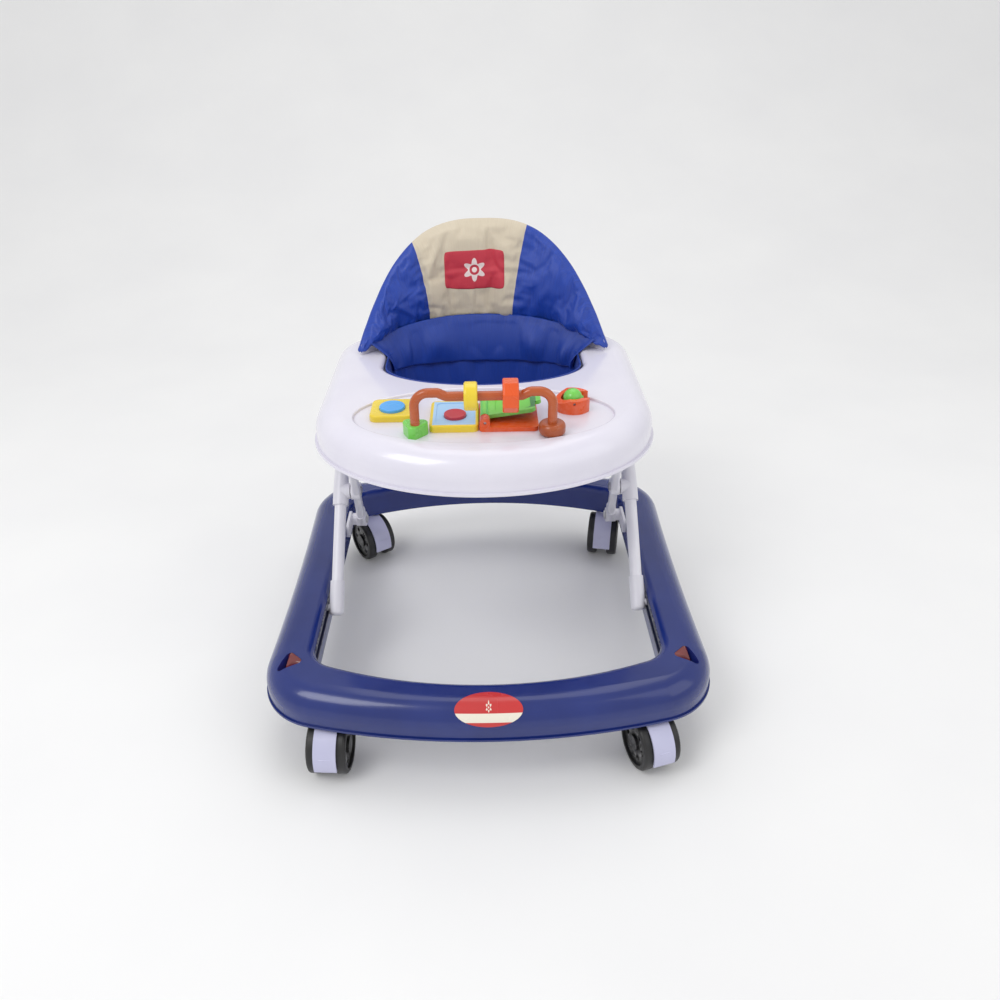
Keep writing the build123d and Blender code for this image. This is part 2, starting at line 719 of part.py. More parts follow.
def make_tray():
    """Tray moulding: domed ring with a rim flange, toy recess and seat opening."""
    with BuildPart() as void:
        with BuildSketch(Plane.XY.offset(TRAY_RIM_Z - 10)):
            add(tray_outline(-TRAY_WALL))
        extrude(amount=TRAY_TOP_Z - TRAY_RIM_Z + 10 - TRAY_WALL)
        fillet(void.edges().group_by(Axis.Z)[-1], TRAY_ROUND - TRAY_WALL)
        with BuildSketch(Plane.XY.offset(FLOOR_Z - TRAY_WALL)):
            add(recess_outline(TRAY_WALL))
        extrude(amount=20, mode=Mode.SUBTRACT)
        with BuildSketch(Plane.XY.offset(TRAY_RIM_Z - 10)):
            add(seat_outline(TRAY_WALL))
        extrude(amount=100, mode=Mode.SUBTRACT)
    with BuildPart() as tray:
        with BuildSketch(Plane.XY.offset(TRAY_RIM_Z)):
            add(tray_outline())
        extrude(amount=TRAY_TOP_Z - TRAY_RIM_Z)
        fillet(tray.edges().group_by(Axis.Z)[-1], TRAY_ROUND)
        with BuildSketch(Plane.XY.offset(TRAY_RIM_Z)):
            add(tray_outline(3.5))
        extrude(amount=3.5)
        with BuildSketch(Plane.XY.offset(TRAY_RIM_Z)):
            add(seat_outline())
        extrude(amount=100, mode=Mode.SUBTRACT)
        opening_edges = tray.faces().sort_by(Axis.Z)[-1].inner_wires()[0].edges()
        fillet(opening_edges, 7)
        with BuildSketch(Plane.XY.offset(FLOOR_Z)):
            add(recess_outline())
        extrude(amount=20, mode=Mode.SUBTRACT)
        recess_rim = tray.faces().sort_by(Axis.Z)[-1].inner_wires()
        fillet(recess_rim.sort_by(Axis.Y)[0].edges(), 2)
        add(void.part, mode=Mode.SUBTRACT)
    return tray.part


def make_tray_rail():
    """Left rail under the tray: front pivot boss and rear channel for the sliding pin."""
    web_x = -162.0
    ledge_x = -167.7
    channel_mid = (RAIL_FRONT + RAIL_REAR) / 2
    channel_length = RAIL_REAR - RAIL_FRONT
    with BuildPart() as rail:
        with Locations((web_x, FOOT_Y + 12, UPPER_Z + 3)):
            Box(4, 52, 30)
        with Locations((web_x, 41, UPPER_Z + 8.5)):
            Box(4, 172, 41)
        with Locations((web_x, channel_mid, UPPER_Z + 8.5)):
            Box(4, channel_length, 41)
        with Locations((web_x, 210, UPPER_Z + 26)):
            Box(4, 16, 14)
        for z in (UPPER_Z - 8.6, UPPER_Z + 8.6):
            with Locations((ledge_x, channel_mid, z)):
                Box(7.6, channel_length, 6.4)
        for y in (RAIL_FRONT + 2, RAIL_REAR - 2):
            with Locations((ledge_x, y, UPPER_Z)):
                Box(7.6, 4, 22)
        with BuildSketch(Plane.YZ.offset(-INNER_TOP_X + HEAD_HALF + 0.2)):
            with Locations((FOOT_Y, UPPER_Z)):
                Circle(10)
        extrude(amount=INNER_TOP_X - HEAD_HALF - 160.2)
        with BuildSketch(Plane.YZ.offset(-INNER_TOP_X)):
            with Locations((FOOT_Y, UPPER_Z)):
                Circle(PIN_R)
        extrude(amount=40, mode=Mode.SUBTRACT)
    return rail.part


def make_upper_pins():
    """Rivets of the inner legs' upper pivots, fixed in the tray rails."""
    head_x = -INNER_TOP_X - HEAD_HALF - 1.2
    with BuildPart() as pins:
        with BuildSketch(Plane.YZ.offset(head_x)):
            with Locations((FOOT_Y, UPPER_Z)):
                Circle(PIN_R)
        extrude(amount=-head_x - 160)
        with BuildSketch(Plane.YZ.offset(head_x - 2)):
            with Locations((FOOT_Y, UPPER_Z)):
                Circle(7)
        extrude(amount=2)
        mirror(about=Plane.YZ)
    return pins.part


# ---- backrest and seat -----------------------------------------------------------------
def wrap_wall(a, b, thick, low_z, high_z, end_y):
    """Open C wall: an elliptical tube that leans outwards, kept behind end_y."""
    with BuildPart() as wall:
        with BuildSketch(Plane.XY.offset(low_z)):
            with Locations((0, BACK_C_Y)):
                Ellipse(a, b)
        with BuildSketch(Plane.XY.offset(high_z)):
            with Locations((0, BACK_C_Y)):
                Ellipse(a + SHELL_LEAN_X, b + SHELL_LEAN_Y)
        loft()
    with BuildPart() as core:
        with BuildSketch(Plane.XY.offset(low_z)):
            with Locations((0, BACK_C_Y)):
                Ellipse(a - thick, b - thick)
        with BuildSketch(Plane.XY.offset(high_z)):
            with Locations((0, BACK_C_Y)):
                Ellipse(a + SHELL_LEAN_X - thick, b + SHELL_LEAN_Y - thick)
        loft()
    with BuildPart() as ring:
        add(wall.part)
        add(core.part, mode=Mode.SUBTRACT)
        with Locations((0, end_y + 300, (low_z + high_z) / 2)):
            Box(600, 600, 400, mode=Mode.INTERSECT)
    return ring.part


def back_profile(low_mid, low_side, inset=0.0):
    """Front view of the backrest: domed top that falls steeply to the tray, hollowed lower edge."""
    shoulder = (SHOULDER_X - inset, SHOULDER_Z - inset * 0.6)
    hip = (HIP_X - inset, HIP_Z - inset * 0.4)
    end = (END_X - inset, END_Z)
    with BuildSketch(Plane.XZ.offset(-600)) as sk:
        with BuildLine():
            Spline(
                (-end[0], end[1]),
                (-hip[0], hip[1]),
                (-shoulder[0], shoulder[1]),
                (0, COVER_TOP - inset),
                shoulder,
                hip,
                end,
            )
            Line(end, (end[0], low_side))
            Spline((end[0], low_side), (end[0] * 0.5, low_mid), (-end[0] * 0.5, low_mid), (-end[0], low_side))
            Line((-end[0], low_side), (-end[0], end[1]))
        make_face()
    return sk.sketch


def make_backrest_shell():
    """White shell of the backrest, standing on the tray's rear."""
    wall = wrap_wall(SHELL_A, SHELL_B, SHELL_T, TRAY_TOP_Z, LEAN_Z, SHELL_END_Y)
    with BuildPart() as shell:
        add(wall)
        with BuildSketch(Plane.XZ.offset(-600)):
            add(back_profile(TRAY_TOP_Z, TRAY_TOP_Z, SHELL_INSET))
        extrude(amount=700, mode=Mode.INTERSECT)
    return shell.part


def make_headrest_cover():
    """Padded cover over the shell: front and rear pads joined over the top edge."""
    gap = 0.4
    grow = gap + COVER_T * 0.4
    thick = COVER_T * 1.4 + SHELL_T + 2 * gap
    outside = wrap_wall(SHELL_A + grow, SHELL_B + grow, thick, TRAY_TOP_Z, LEAN_Z, SHELL_END_Y - 8)
    inside = wrap_wall(SHELL_A + gap, SHELL_B + gap, SHELL_T + 2 * gap, TRAY_TOP_Z, LEAN_Z, SHELL_END_Y - 1)
    with BuildPart() as slot:
        add(inside)
        with BuildSketch(Plane.XZ.offset(-600)):
            add(back_profile(380, 380, SHELL_INSET - 0.8))
        extrude(amount=700, mode=Mode.INTERSECT)
    with BuildPart() as cover:
        add(outside)
        with BuildSketch(Plane.XZ.offset(-600)):
            add(back_profile(COVER_LOW, COVER_SIDE_LOW))
        extrude(amount=700, mode=Mode.INTERSECT)
        add(slot.part, mode=Mode.SUBTRACT)
    return cover.part


def make_seat_sling():
    """Fabric bucket in the tray opening with two leg holes in its floor."""
    rim_z = TRAY_TOP_Z - 2
    with BuildPart() as bucket:
        with BuildSketch(Plane.XY.offset(SLING_BOTTOM)):
            add(seat_outline(-34))
        with BuildSketch(Plane.XY.offset(rim_z)):
            add(seat_outline(-0.4))
        loft()
    with BuildPart() as hollow:
        with BuildSketch(Plane.XY.offset(SLING_BOTTOM + CLOTH)):
            add(seat_outline(-34 - CLOTH))
        with BuildSketch(Plane.XY.offset(rim_z + 2)):
            add(seat_outline(-0.4 - CLOTH))
        loft()
    with BuildPart() as sling:
        add(bucket.part)
        add(hollow.part, mode=Mode.SUBTRACT)
        with BuildSketch(Plane.XY.offset(SLING_BOTTOM - 5)):
            with Locations((-62, 155), (62, 155)):
                Ellipse(34, 40)
        extrude(amount=20, mode=Mode.SUBTRACT)
    return sling.part


def make_back_panel():
    """Fabric that rises from the seat's rear edge to the headrest cover."""
    low_z, high_z = TRAY_TOP_Z + 0.5, 431.0
    low_a, low_b = SEAT_HALF_W - 1.5, SEAT_REAR - BACK_C_Y - 1.0
    high_a, high_b = SHELL_A - SHELL_T - 10.5, SHELL_B - SHELL_T - 6.5
    with BuildPart() as outside:
        with BuildSketch(Plane.XY.offset(low_z)):
            with Locations((0, BACK_C_Y)):
                Ellipse(low_a, low_b)
        with BuildSketch(Plane.XY.offset(high_z)):
            with Locations((0, BACK_C_Y)):
                Ellipse(high_a, high_b)
        loft()
    with BuildPart() as inside:
        with BuildSketch(Plane.XY.offset(low_z)):
            with Locations((0, BACK_C_Y)):
                Ellipse(low_a - CLOTH, low_b - CLOTH)
        with BuildSketch(Plane.XY.offset(high_z)):
            with Locations((0, BACK_C_Y)):
                Ellipse(high_a - CLOTH, high_b - CLOTH)
        loft()
    with BuildPart() as panel:
        add(outside.part)
        add(inside.part, mode=Mode.SUBTRACT)
        with Locations((0, SHELL_END_Y + 8 + 300, 400)):
            Box(600, 600, 400, mode=Mode.INTERSECT)
    return panel.part


# ---- toys ------------------------------------------------------------------------------
def make_arch():
    """Bead arch: upright ends, round shoulders and a straight dip in the middle."""
    with BuildPart() as arch:
        with BuildLine() as path:
            FilletPolyline(
                (-ARCH_HALF, ARCH_Y, FLOOR_Z + 3),
                (-ARCH_HALF, ARCH_Y, ARCH_CREST_Z + 1),
                (-56, ARCH_Y, ARCH_CREST_Z + 1),
                (-46, ARCH_Y, ARCH_DIP_Z),
                (48, ARCH_Y, ARCH_DIP_Z),
                (58, ARCH_Y, ARCH_CREST_Z + 1),
                (ARCH_HALF, ARCH_Y, ARCH_CREST_Z + 1),
                (ARCH_HALF, ARCH_Y, FLOOR_Z + 3),
                radius=[18, 8, 8, 8, 8, 18],
            )
        with BuildSketch(Plane(origin=path.wires()[0] @ 0, z_dir=path.wires()[0] % 0)):
            Circle(ARCH_R)
        sweep(path=path.wires()[0])
    return arch.part


def make_green_foot():
    """Arch foot, left: rounded triangular block with a socket for the arch."""
    with BuildPart() as foot:
        with BuildSketch(Plane.XY.offset(FLOOR_Z)):
            with BuildLine():
                Polyline((-107, -67), (-63, -72), (-91, -102), close=True)
            make_face()
            fillet(vertices(), 7)
        extrude(amount=17)
        fillet(foot.edges().group_by(Axis.Z)[-1], 2.5)
        with BuildSketch(Plane.XY.offset(FLOOR_Z + 3)):
            with Locations((-ARCH_HALF, ARCH_Y)):
                Circle(ARCH_R)
        extrude(amount=30, mode=Mode.SUBTRACT)
    return foot.part


def make_brown_foot():
    """Arch foot, right: thick ring with a socket for the arch."""
    with BuildPart() as foot:
        with BuildSketch(Plane.XY.offset(FLOOR_Z)):
            with Locations((ARCH_HALF, ARCH_Y + 1)):
                Circle(17)
        extrude(amount=17)
        fillet(foot.edges(), 6)
        with BuildSketch(Plane.XY.offset(FLOOR_Z + 3)):
            with Locations((ARCH_HALF, ARCH_Y)):
                Circle(ARCH_R)
        extrude(amount=30, mode=Mode.SUBTRACT)
    return foot.part


def make_yellow_bead():
    """Round ring bead on the arch."""
    with BuildPart() as bead:
        with BuildSketch(Plane.YZ.offset(YELLOW_X - YELLOW_W / 2)):
            with Locations((ARCH_Y, ARCH_DIP_Z)):
                Circle(YELLOW_R)
        extrude(amount=YELLOW_W)
        fillet(bead.edges(), 3)
        with BuildSketch(Plane.YZ.offset(YELLOW_X - YELLOW_W)):
            with Locations((ARCH_Y, ARCH_DIP_Z)):
                Circle(BEAD_BORE)
        extrude(amount=2 * YELLOW_W, mode=Mode.SUBTRACT)
    return bead.part


def make_orange_bead():
    """Eight-sided ring bead on the arch."""
    with BuildPart() as bead:
        with BuildSketch(Plane.YZ.offset(ORANGE_X - ORANGE_W / 2)):
            with Locations((ARCH_Y, ARCH_DIP_Z)):
                RegularPolygon(ORANGE_R, 8, rotation=22.5)
        extrude(amount=ORANGE_W)
        fillet(bead.edges(), 2.5)
        with BuildSketch(Plane.YZ.offset(ORANGE_X - ORANGE_W)):
            with Locations((ARCH_Y, ARCH_DIP_Z)):
                Circle(BEAD_BORE)
        extrude(amount=2 * ORANGE_W, mode=Mode.SUBTRACT)
    return bead.part


def make_square_block():
    """Yellow block with a well for its round push button."""
    with BuildPart() as block:
        with BuildSketch(Plane.XY.offset(FLOOR_Z)):
            with Locations((SQUARE_X, SQUARE_Y)):
                RectangleRounded(58, 56, 10)
        extrude(amount=9)
        fillet(block.edges().group_by(Axis.Z)[-1], 3)
        with BuildSketch(Plane.XY.offset(FLOOR_Z + 2)):
            with Locations((SQUARE_X, SQUARE_Y - 3)):
                Circle(17.4)
        extrude(amount=20, mode=Mode.SUBTRACT)
    return block.part


def button(x, y, radius, well_floor, top_z):
    """Round push button that stands above its well by its travel and a little more."""
    with BuildPart() as cap:
        with BuildSketch(Plane.XY.offset(well_floor + BUTTON_TRAVEL + 0.4)):
            with Locations((x, y)):
                Circle(radius)
        extrude(amount=top_z - well_floor - BUTTON_TRAVEL - 0.4)
        fillet(cap.edges().group_by(Axis.Z)[-1], 1.6)
    return cap.part


def make_book_page():
    """Left page of the book: a framed plate with a well for its push button."""
    left = -70.0
    right = HINGE_X - 8.0
    mid = (left + right) / 2
    with BuildPart() as page:
        with BuildSketch(Plane.XY.offset(FLOOR_Z)):
            with Locations((mid, (BOOK_FRONT + BOOK_REAR) / 2)):
                RectangleRounded(right - left, BOOK_REAR - BOOK_FRONT, 8)
        extrude(amount=9)
        fillet(page.edges().group_by(Axis.Z)[-1], 2.5)
        with BuildSketch(Plane.XY.offset(FLOOR_Z + 8)):
            with Locations((mid + 1, (BOOK_FRONT + BOOK_REAR) / 2)):
                RectangleRounded(right - left - 14, BOOK_REAR - BOOK_FRONT - 16, 6)
        extrude(amount=5, mode=Mode.SUBTRACT)
        with BuildSketch(Plane.XY.offset(FLOOR_Z + 2)):
            with Locations((mid + 1, -44)):
                Circle(14.9)
        extrude(amount=20, mode=Mode.SUBTRACT)
    return page.part


def make_book_base():
    """Right half of the book: plate, and the front knuckle of the flap's hinge."""
    left = HINGE_X - 7.4
    right = 70.0
    with BuildPart() as base:
        with BuildSketch(Plane.XY.offset(FLOOR_Z)):
            with Locations(((left + right) / 2, (BOOK_FRONT + BOOK_REAR) / 2)):
                RectangleRounded(right - left, BOOK_REAR - BOOK_FRONT, 6)
        extrude(amount=6)
        with BuildSketch(Plane.XZ.offset(-BOOK_FRONT)):
            with Locations((HINGE_X, HINGE_Z)):
                Circle(6.6)
            with Locations((HINGE_X, HINGE_Z - 5)):
                Rectangle(13.2, 10)
        extrude(amount=-14)
        with BuildSketch(Plane.XZ.offset(-BOOK_REAR)):
            with Locations((HINGE_X, HINGE_Z)):
                Circle(6.6)
            with Locations((HINGE_X, HINGE_Z - 5)):
                Rectangle(13.2, 10)
        extrude(amount=8)
        with BuildSketch(Plane.XZ.offset(100)):
            with Locations((HINGE_X, HINGE_Z)):
                Circle(TOY_PIN_R)
        extrude(amount=-200, mode=Mode.SUBTRACT)
    return base.part


def make_toy_pins():
    """Steel pins of the flap's hinge and of the roller ball."""
    with BuildPart() as pins:
        with BuildSketch(Plane.XZ.offset(-BOOK_FRONT - 2)):
            with Locations((HINGE_X, HINGE_Z)):
                Circle(TOY_PIN_R)
        extrude(amount=-(BOOK_REAR - BOOK_FRONT - 4))
        with BuildSketch(Plane.XZ.offset(-ROLLER_Y + 20)):
            with Locations((ROLLER_X, ROLLER_Z)):
                Circle(TOY_PIN_R)
        extrude(amount=-40)
    return pins.part


def make_flap():
    """Hinged page: rounded plate with a raised frame, a finger tab and a hinge barrel."""
    front, rear = -60.0, -8.0
    with BuildPart() as flap:
        with BuildSketch(Plane.XY.offset(HINGE_Z - 2)):
            with Locations((HINGE_X + 36, (front + rear) / 2)):
                RectangleRounded(60, rear - front, 8)
            with Locations((HINGE_X + 67, -30)):
                RectangleRounded(14, 16, 5)
        extrude(amount=5)
        with BuildSketch(Plane.XY.offset(HINGE_Z + 1.8)):
            with Locations((HINGE_X + 37, (front + rear) / 2)):
                RectangleRounded(46, rear - front - 14, 5)
        extrude(amount=4, mode=Mode.SUBTRACT)
        with BuildSketch(Plane.XZ.offset(-front)):
            with Locations((HINGE_X, HINGE_Z)):
                Circle(6.0)
            with Locations((HINGE_X + 6, HINGE_Z + 0.5)):
                Rectangle(12, 5)
        extrude(amount=-(rear - front))
        with BuildSketch(Plane.XZ.offset(100)):
            with Locations((HINGE_X, HINGE_Z)):
                Circle(TOY_PIN_R + RUN_FIT)
        extrude(amount=-200, mode=Mode.SUBTRACT)
    return flap.part.rotate(Axis((HINGE_X, 0, HINGE_Z), (0, -1, 0)), FLAP_REST)


def make_cradle():
    """C-shaped cradle, open to the right, that holds the roller ball's pin."""
    with BuildPart() as cradle:
        with BuildSketch(Plane.XY.offset(FLOOR_Z)):
            with Locations((ROLLER_X, ROLLER_Y)):
                Circle(24)
                Circle(ROLLER_R + 3.2, mode=Mode.SUBTRACT)
            with Locations((ROLLER_X + 24, ROLLER_Y)):
                Rectangle(30, 22, mode=Mode.SUBTRACT)
        extrude(amount=ROLLER_Z - FLOOR_Z + 4)
        with Locations((ROLLER_X - 24, ROLLER_Y, ROLLER_Z + 10)):
            Box(40, 60, 26, rotation=(0, -24, 0), mode=Mode.SUBTRACT)
        with BuildSketch(Plane.XZ.offset(100)):
            with Locations((ROLLER_X, ROLLER_Z)):
                Circle(TOY_PIN_R)
        extrude(amount=-200, mode=Mode.SUBTRACT)
    return cradle.part


def make_roller():
    """Roller ball with a small grip nub on one side."""
    with BuildPart() as ball:
        with Locations((ROLLER_X, ROLLER_Y, ROLLER_Z)):
            Sphere(ROLLER_R)
        with Locations((ROLLER_X + ROLLER_R - 1.0, ROLLER_Y, ROLLER_Z)):
            Sphere(3.0)
        with BuildSketch(Plane.XZ.offset(100)):
            with Locations((ROLLER_X, ROLLER_Z)):
                Circle(TOY_PIN_R + RUN_FIT)
        extrude(amount=-200, mode=Mode.SUBTRACT)
    return ball.part


# ---- write every piece -----------------------------------------------------------------
write(make_base(), "base_shell")
write_pair(make_track(), "slide_track")
write(make_slot_stops(), "slot_stops")
write_pair(make_reflector(), "reflector")
write(make_badge(), "front_badge")
write_pair(make_leg_bracket(), "leg_bracket")
write(make_lower_pins(), "lower_pivot_pins")
for caster in CASTERS:
    stem_frame = caster_frame(caster)
    write(make_caster_hood(stem_frame), f"{caster}_caster_hood")
    write(make_caster_stem(stem_frame), f"{caster}_caster_stem")
    write(make_caster_axle(stem_frame), f"{caster}_caster_axle")
    write(make_caster_wheels(stem_frame), f"{caster}_caster_wheels")
write_pair(make_inner_leg(), "inner_leg")
write(make_inner_feet(), "inner_leg_feet")
write(make_inner_heads(), "inner_leg_heads")
write(make_crossing_pins(), "crossing_pins")
write_pair(make_outer_leg(), "outer_leg")
write_pair(make_outer_foot(), "outer_leg_foot")
write_pair(make_knuckle(), "knuckle")
write(make_outer_heads(), "outer_leg_heads")
write(make_tray(), "tray_top")
write_pair(make_tray_rail(), "tray_rail")
write(make_upper_pins(), "upper_pivot_pins")
write(make_backrest_shell(), "backrest_shell")
write(make_headrest_cover(), "headrest_cover")
write(make_seat_sling(), "seat_sling")
write(make_back_panel(), "seat_back_panel")
write(make_arch(), "bead_arch")
write(make_green_foot(), "arch_foot_green")
write(make_brown_foot(), "arch_foot_brown")
write(make_yellow_bead(), "bead_yellow")
write(make_orange_bead(), "bead_orange")
write(make_square_block(), "button_block")
write(button(SQUARE_X, SQUARE_Y - 3, 17.0, FLOOR_Z + 2, FLOOR_Z + 9 + BUTTON_RISE), "block_button")
write(make_book_page(), "book_page")
write(button(-37.25, -44, 14.5, FLOOR_Z + 2, FLOOR_Z + 8 + BUTTON_RISE), "page_button")
write(make_book_base(), "book_base")
write(make_toy_pins(), "toy_pins")
write(make_flap(), "flap_page")
write(make_cradle(), "roller_cradle")
write(make_roller(), "roller_ball")
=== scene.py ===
import json
import logging
import math
from dataclasses import dataclass, field
from enum import Enum
from typing import Iterable, Optional

import bpy
from mathutils import Matrix, Vector, noise
from mathutils.bvhtree import BVHTree


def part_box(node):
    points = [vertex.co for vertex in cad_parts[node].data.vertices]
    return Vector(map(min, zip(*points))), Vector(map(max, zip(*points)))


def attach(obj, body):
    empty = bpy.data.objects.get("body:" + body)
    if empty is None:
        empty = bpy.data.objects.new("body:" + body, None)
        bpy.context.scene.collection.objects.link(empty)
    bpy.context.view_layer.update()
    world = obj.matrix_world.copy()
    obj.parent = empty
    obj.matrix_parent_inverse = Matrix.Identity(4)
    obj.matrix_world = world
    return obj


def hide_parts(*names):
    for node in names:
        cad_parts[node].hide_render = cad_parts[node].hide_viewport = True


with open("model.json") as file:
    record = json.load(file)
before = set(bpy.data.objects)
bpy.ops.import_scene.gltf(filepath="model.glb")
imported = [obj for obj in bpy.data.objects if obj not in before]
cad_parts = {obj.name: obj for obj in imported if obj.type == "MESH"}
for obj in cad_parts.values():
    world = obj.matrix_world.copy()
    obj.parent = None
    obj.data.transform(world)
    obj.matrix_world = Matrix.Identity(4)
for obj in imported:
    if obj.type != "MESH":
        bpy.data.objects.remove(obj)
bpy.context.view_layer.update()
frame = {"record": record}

logging.basicConfig(level=logging.INFO, format="%(message)s")
LOG = logging.getLogger("walker")

Colour = tuple[float, float, float]


class Body(Enum):
    """Rigid bodies of the frame that new pieces ride on."""

    BASE = "base"
    TRAY = "tray"


class SocketKind(Enum):
    """Kinds of socket a shared effect has."""

    NUMBER = "NodeSocketFloat"
    VECTOR = "NodeSocketVector"


# ---- node helpers ----------------------------------------------------------------------
class Tree:
    """A hand on one node tree: adds nodes, sets them and joins them."""

    def __init__(self, tree: bpy.types.NodeTree) -> None:
        """Takes hold of a tree.

        Args:
            tree: the material's or group's node tree.
        """
        self.tree = tree

    def add(self, kind: str, **settings: object) -> bpy.types.Node:
        """Adds a node and sets its plain attributes.

        Args:
            kind: Blender's name for the node type.
            settings: attribute values.

        Returns:
            The new node.
        """
        node = self.tree.nodes.new(kind)
        for key, value in settings.items():
            setattr(node, key, value)
        return node

    def put(self, value: object, socket: bpy.types.NodeSocket) -> None:
        """Joins a socket, or sets a plain value, on an input.

        Args:
            value: an output socket or a value.
            socket: the input to fill.
        """
        if isinstance(value, bpy.types.NodeSocket):
            self.tree.links.new(value, socket)
        else:
            socket.default_value = value

    def math(self, operation: str, a: object, b: object = 0.0, c: object = 0.0) -> bpy.types.NodeSocket:
        """Adds a Math node.

        Args:
            operation: the node's operation.
            a: first value or socket.
            b: second value or socket.
            c: third value or socket, for three-way operations.

        Returns:
            The result socket.
        """
        node = self.add("ShaderNodeMath", operation=operation)
        for value, socket in zip((a, b, c), node.inputs):
            self.put(value, socket)
        return node.outputs[0]

    def remap(self, value: object, low: float, high: float, to_low: float, to_high: float) -> bpy.types.NodeSocket:
        """Maps a value's range to another, clamped.

        Args:
            value: the socket to map.
            low: source start.
            high: source end.
            to_low: result at the start.
            to_high: result at the end.

        Returns:
            The mapped socket.
        """
        node = self.add("ShaderNodeMapRange")
        for number, socket in zip((value, low, high, to_low, to_high), node.inputs):
            self.put(number, socket)
        return node.outputs[0]

    def blend(self, factor: object, a: object, b: object) -> bpy.types.NodeSocket:
        """Mixes two colours.

        Args:
            factor: how much of the second shows.
            a: first colour or socket.
            b: second colour or socket.

        Returns:
            The mixed colour socket.
        """
        node = self.add("ShaderNodeMix", data_type="RGBA")
        self.put(factor, node.inputs["Factor"])
        for value, socket in ((a, node.inputs[6]), (b, node.inputs[7])):
            self.put((*value, 1.0) if isinstance(value, tuple) else value, socket)
        return node.outputs[2]

    def place(self) -> bpy.types.NodeSocket:
        """Object coordinates, which are the frame's own metres."""
        return self.add("ShaderNodeTexCoord").outputs["Object"]

    def axes(self, vector: bpy.types.NodeSocket) -> tuple[bpy.types.NodeSocket, ...]:
        """Splits a vector into its three parts."""
        node = self.add("ShaderNodeSeparateXYZ")
        self.put(vector, node.inputs[0])
        return tuple(node.outputs)

    def noise(self, place: bpy.types.NodeSocket, scale: object, detail: float = 2.0) -> bpy.types.NodeSocket:
        """A noise value over the surface.

        Args:
            place: coordinates.
            scale: size of the pattern, in cells per metre.
            detail: octaves.

        Returns:
            The value socket.
        """
        node = self.add("ShaderNodeTexNoise")
        self.put(place, node.inputs["Vector"])
        self.put(scale, node.inputs["Scale"])
        node.inputs["Detail"].default_value = detail
        return node.outputs["Fac"]


class Effect:
    """A shared effect: a shader node group with named inputs and outputs."""

    def __init__(self, name: str, inputs: dict[str, SocketKind], outputs: Iterable[str]) -> None:
        """Starts an empty group.

        Args:
            name: the group's name.
            inputs: input names and kinds.
            outputs: names of the number outputs.
        """
        self.group = bpy.data.node_groups.new(name, "ShaderNodeTree")
        for label, kind in inputs.items():
            self.group.interface.new_socket(label, in_out="INPUT", socket_type=kind.value)
        for label in outputs:
            self.group.interface.new_socket(label, in_out="OUTPUT", socket_type=SocketKind.NUMBER.value)
        self.tree = Tree(self.group)
        self.ins = self.tree.add("NodeGroupInput")
        self.outs = self.tree.add("NodeGroupOutput")

    def use(self, tree: Tree, **values: object) -> bpy.types.Node:
        """Places the group in a material.

        Args:
            tree: the material's tree.
            values: values for its inputs, with underscores for spaces.

        Returns:
            The group node.
        """
        node = tree.add("ShaderNodeGroup", node_tree=self.group)
        for key, value in values.items():
            tree.put(value, node.inputs[key.replace("_", " ")])
        return node


